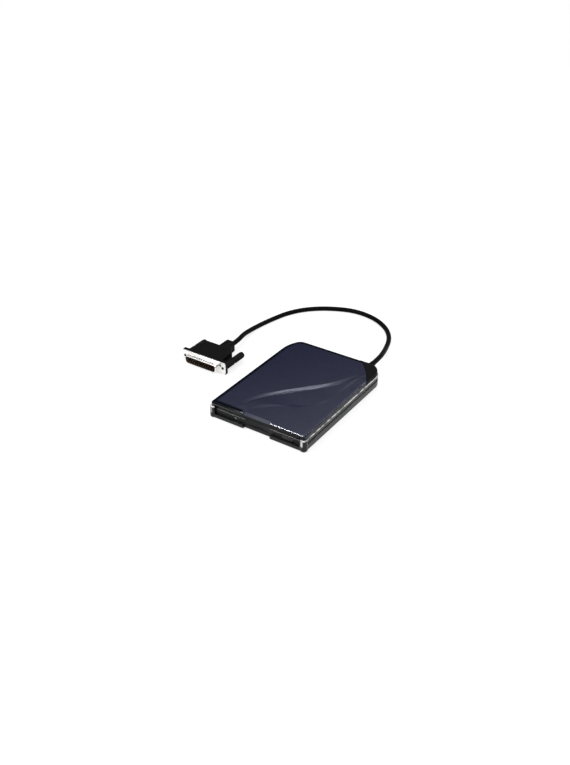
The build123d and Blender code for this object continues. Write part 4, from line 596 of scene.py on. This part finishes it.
def grip_ridges(name, centre_x, centre_z, y_low, y_high, radius, count, height):
    """Round-backed ridges along the head of a thumbscrew, tapered out at both ends."""
    shape = bmesh.new()
    profile = [(-0.5, -0.2), (-0.32, 0.6), (0.0, 1.0), (0.32, 0.6), (0.5, -0.2)]
    ridge_share = 0.72
    taper, end_rise = 0.5, 0.05
    width = 2 * math.pi * radius / count * ridge_share
    for i in range(count):
        angle = 2 * math.pi * i / count
        outward = Vector((math.cos(angle), 0, math.sin(angle)))
        sideways = Vector((-math.sin(angle), 0, math.cos(angle)))
        centre = Vector((centre_x, 0, centre_z))
        rings = []
        for y, rise in ((y_low, end_rise), (y_low + taper, 1.0), (y_high - taper, 1.0), (y_high, end_rise)):
            level = centre + Vector((0, y, 0))
            ring = []
            for side, lift in profile:
                out = outward * (radius + height * rise * lift)
                ring.append(shape.verts.new((level + out + sideways * width * side) * mm))
            rings.append(ring)
        for near, far in zip(rings, rings[1:]):
            for a in range(len(profile) - 1):
                shape.faces.new((near[a], near[a + 1], far[a + 1], far[a]))
        shape.faces.new(rings[0])
        shape.faces.new(reversed(rings[-1]))
    bmesh.ops.recalc_face_normals(shape, faces=shape.faces)
    mesh = bpy.data.meshes.new(name)
    shape.to_mesh(mesh)
    shape.free()
    mesh.shade_smooth()
    return mesh


for side, hand, body in ((-1, "left", "left_thumb"), (1, "right", "right_thumb")):
    screw_x = plug_x + side * jackscrew_reach
    for part, (y_low, y_high) in (("front", (0.2, 11.6)), ("back", (13.9, 26.6))):
        name = f"{hand}_thumb_grip_{part}"
        ridges = grip_ridges(name, screw_x, plug_z, y_low, y_high, grip_radius, grip_count, grip_height)
        add_piece(name, ridges, thumb_finish, body)

# ---------------------------------------------------------------- table, world and lamps

table_half = 6
table_mesh = bpy.data.meshes.new("white_table")
table_corners = [(-table_half, -table_half, 0), (table_half, -table_half, 0),
                 (table_half, table_half, 0), (-table_half, table_half, 0)]
table_mesh.from_pydata(table_corners, [], [(0, 1, 2, 3)])
white_table = bpy.data.objects.new("white_table", table_mesh)
bpy.context.scene.collection.objects.link(white_table)
table_finish = bpy.data.materials.new("white_table_top")
table_finish.use_nodes = True
table_finish.node_tree.nodes.clear()
bench = Bench(table_finish.node_tree)
paper = bench.node("BsdfDiffuse", {"Color": (0.9, 0.9, 0.9, 1.0)})
glow = bench.node("Emission", {"Color": (1, 1, 1, 1), "Strength": 1.0})
path = bench.node("LightPath").outputs
glow_share = 0.72
reflected = bench.calc("MAXIMUM", path["Is Glossy Ray"], path["Is Transmission Ray"])
seen = bench.product(bench.calc("MAXIMUM", path["Is Camera Ray"], reflected), glow_share)
mixed = bench.node("MixShader", {0: seen, 1: paper.outputs[0], 2: glow.outputs[0]})
bench.node("OutputMaterial", {"Surface": mixed.outputs[0]})
table_mesh.materials.append(table_finish)

# White low down all round, a dark band above it and a pale ceiling.
world = bpy.data.worlds.new("studio_world")
bpy.context.scene.world = world
world.use_nodes = True
world.node_tree.nodes.clear()
bench = Bench(world.node_tree)
white_end, dark_start = 0.08, 0.20
ceiling_start, ceiling_full, ceiling_slant, ceiling_light = 0.440, 0.520, 0.15, 1.4
toward = bench.axes(bench.node("TexCoord").outputs["Generated"])
slanted = bench.calc("MULTIPLY_ADD", toward["X"], ceiling_slant, toward["Z"])
ceiling = bench.spread(slanted, ceiling_start, ceiling_full, 0.0, ceiling_light)
room = bench.calc("MAXIMUM", bench.spread(toward["Z"], white_end, dark_start, 1.0, 0.0), ceiling)
sky = bench.node("Background", {"Color": (1, 1, 1, 1), "Strength": room})
bench.node("OutputWorld", {"Surface": sky.outputs[0]})


def soft_lamp(name, position, target, size, watts):
    lamp = bpy.data.objects.new(name, bpy.data.lights.new(name, "AREA"))
    lamp.data.size = size
    lamp.data.energy = watts
    lamp.location = position
    lamp.rotation_euler = (Vector(target) - lamp.location).to_track_quat("-Z", "Y").to_euler()
    bpy.context.scene.collection.objects.link(lamp)


soft_lamp("crease_lamp", (-0.355, 0.70, 0.92), (0, 0, 0), 0.24, 1.2)
soft_lamp("right_edge_lamp", (0.65, 0.85, 0.54), (0.05, 0, 0), 0.14, 2.0)
soft_lamp("front_left_lamp", (-0.49, -0.72, 0.80), (0, -0.05, 0), 0.12, 8.0)
soft_lamp("right_lamp", (0.62, -0.30, 1.15), (0, 0, 0), 0.50, 3.0)

bpy.context.scene.view_settings.view_transform = "Standard"
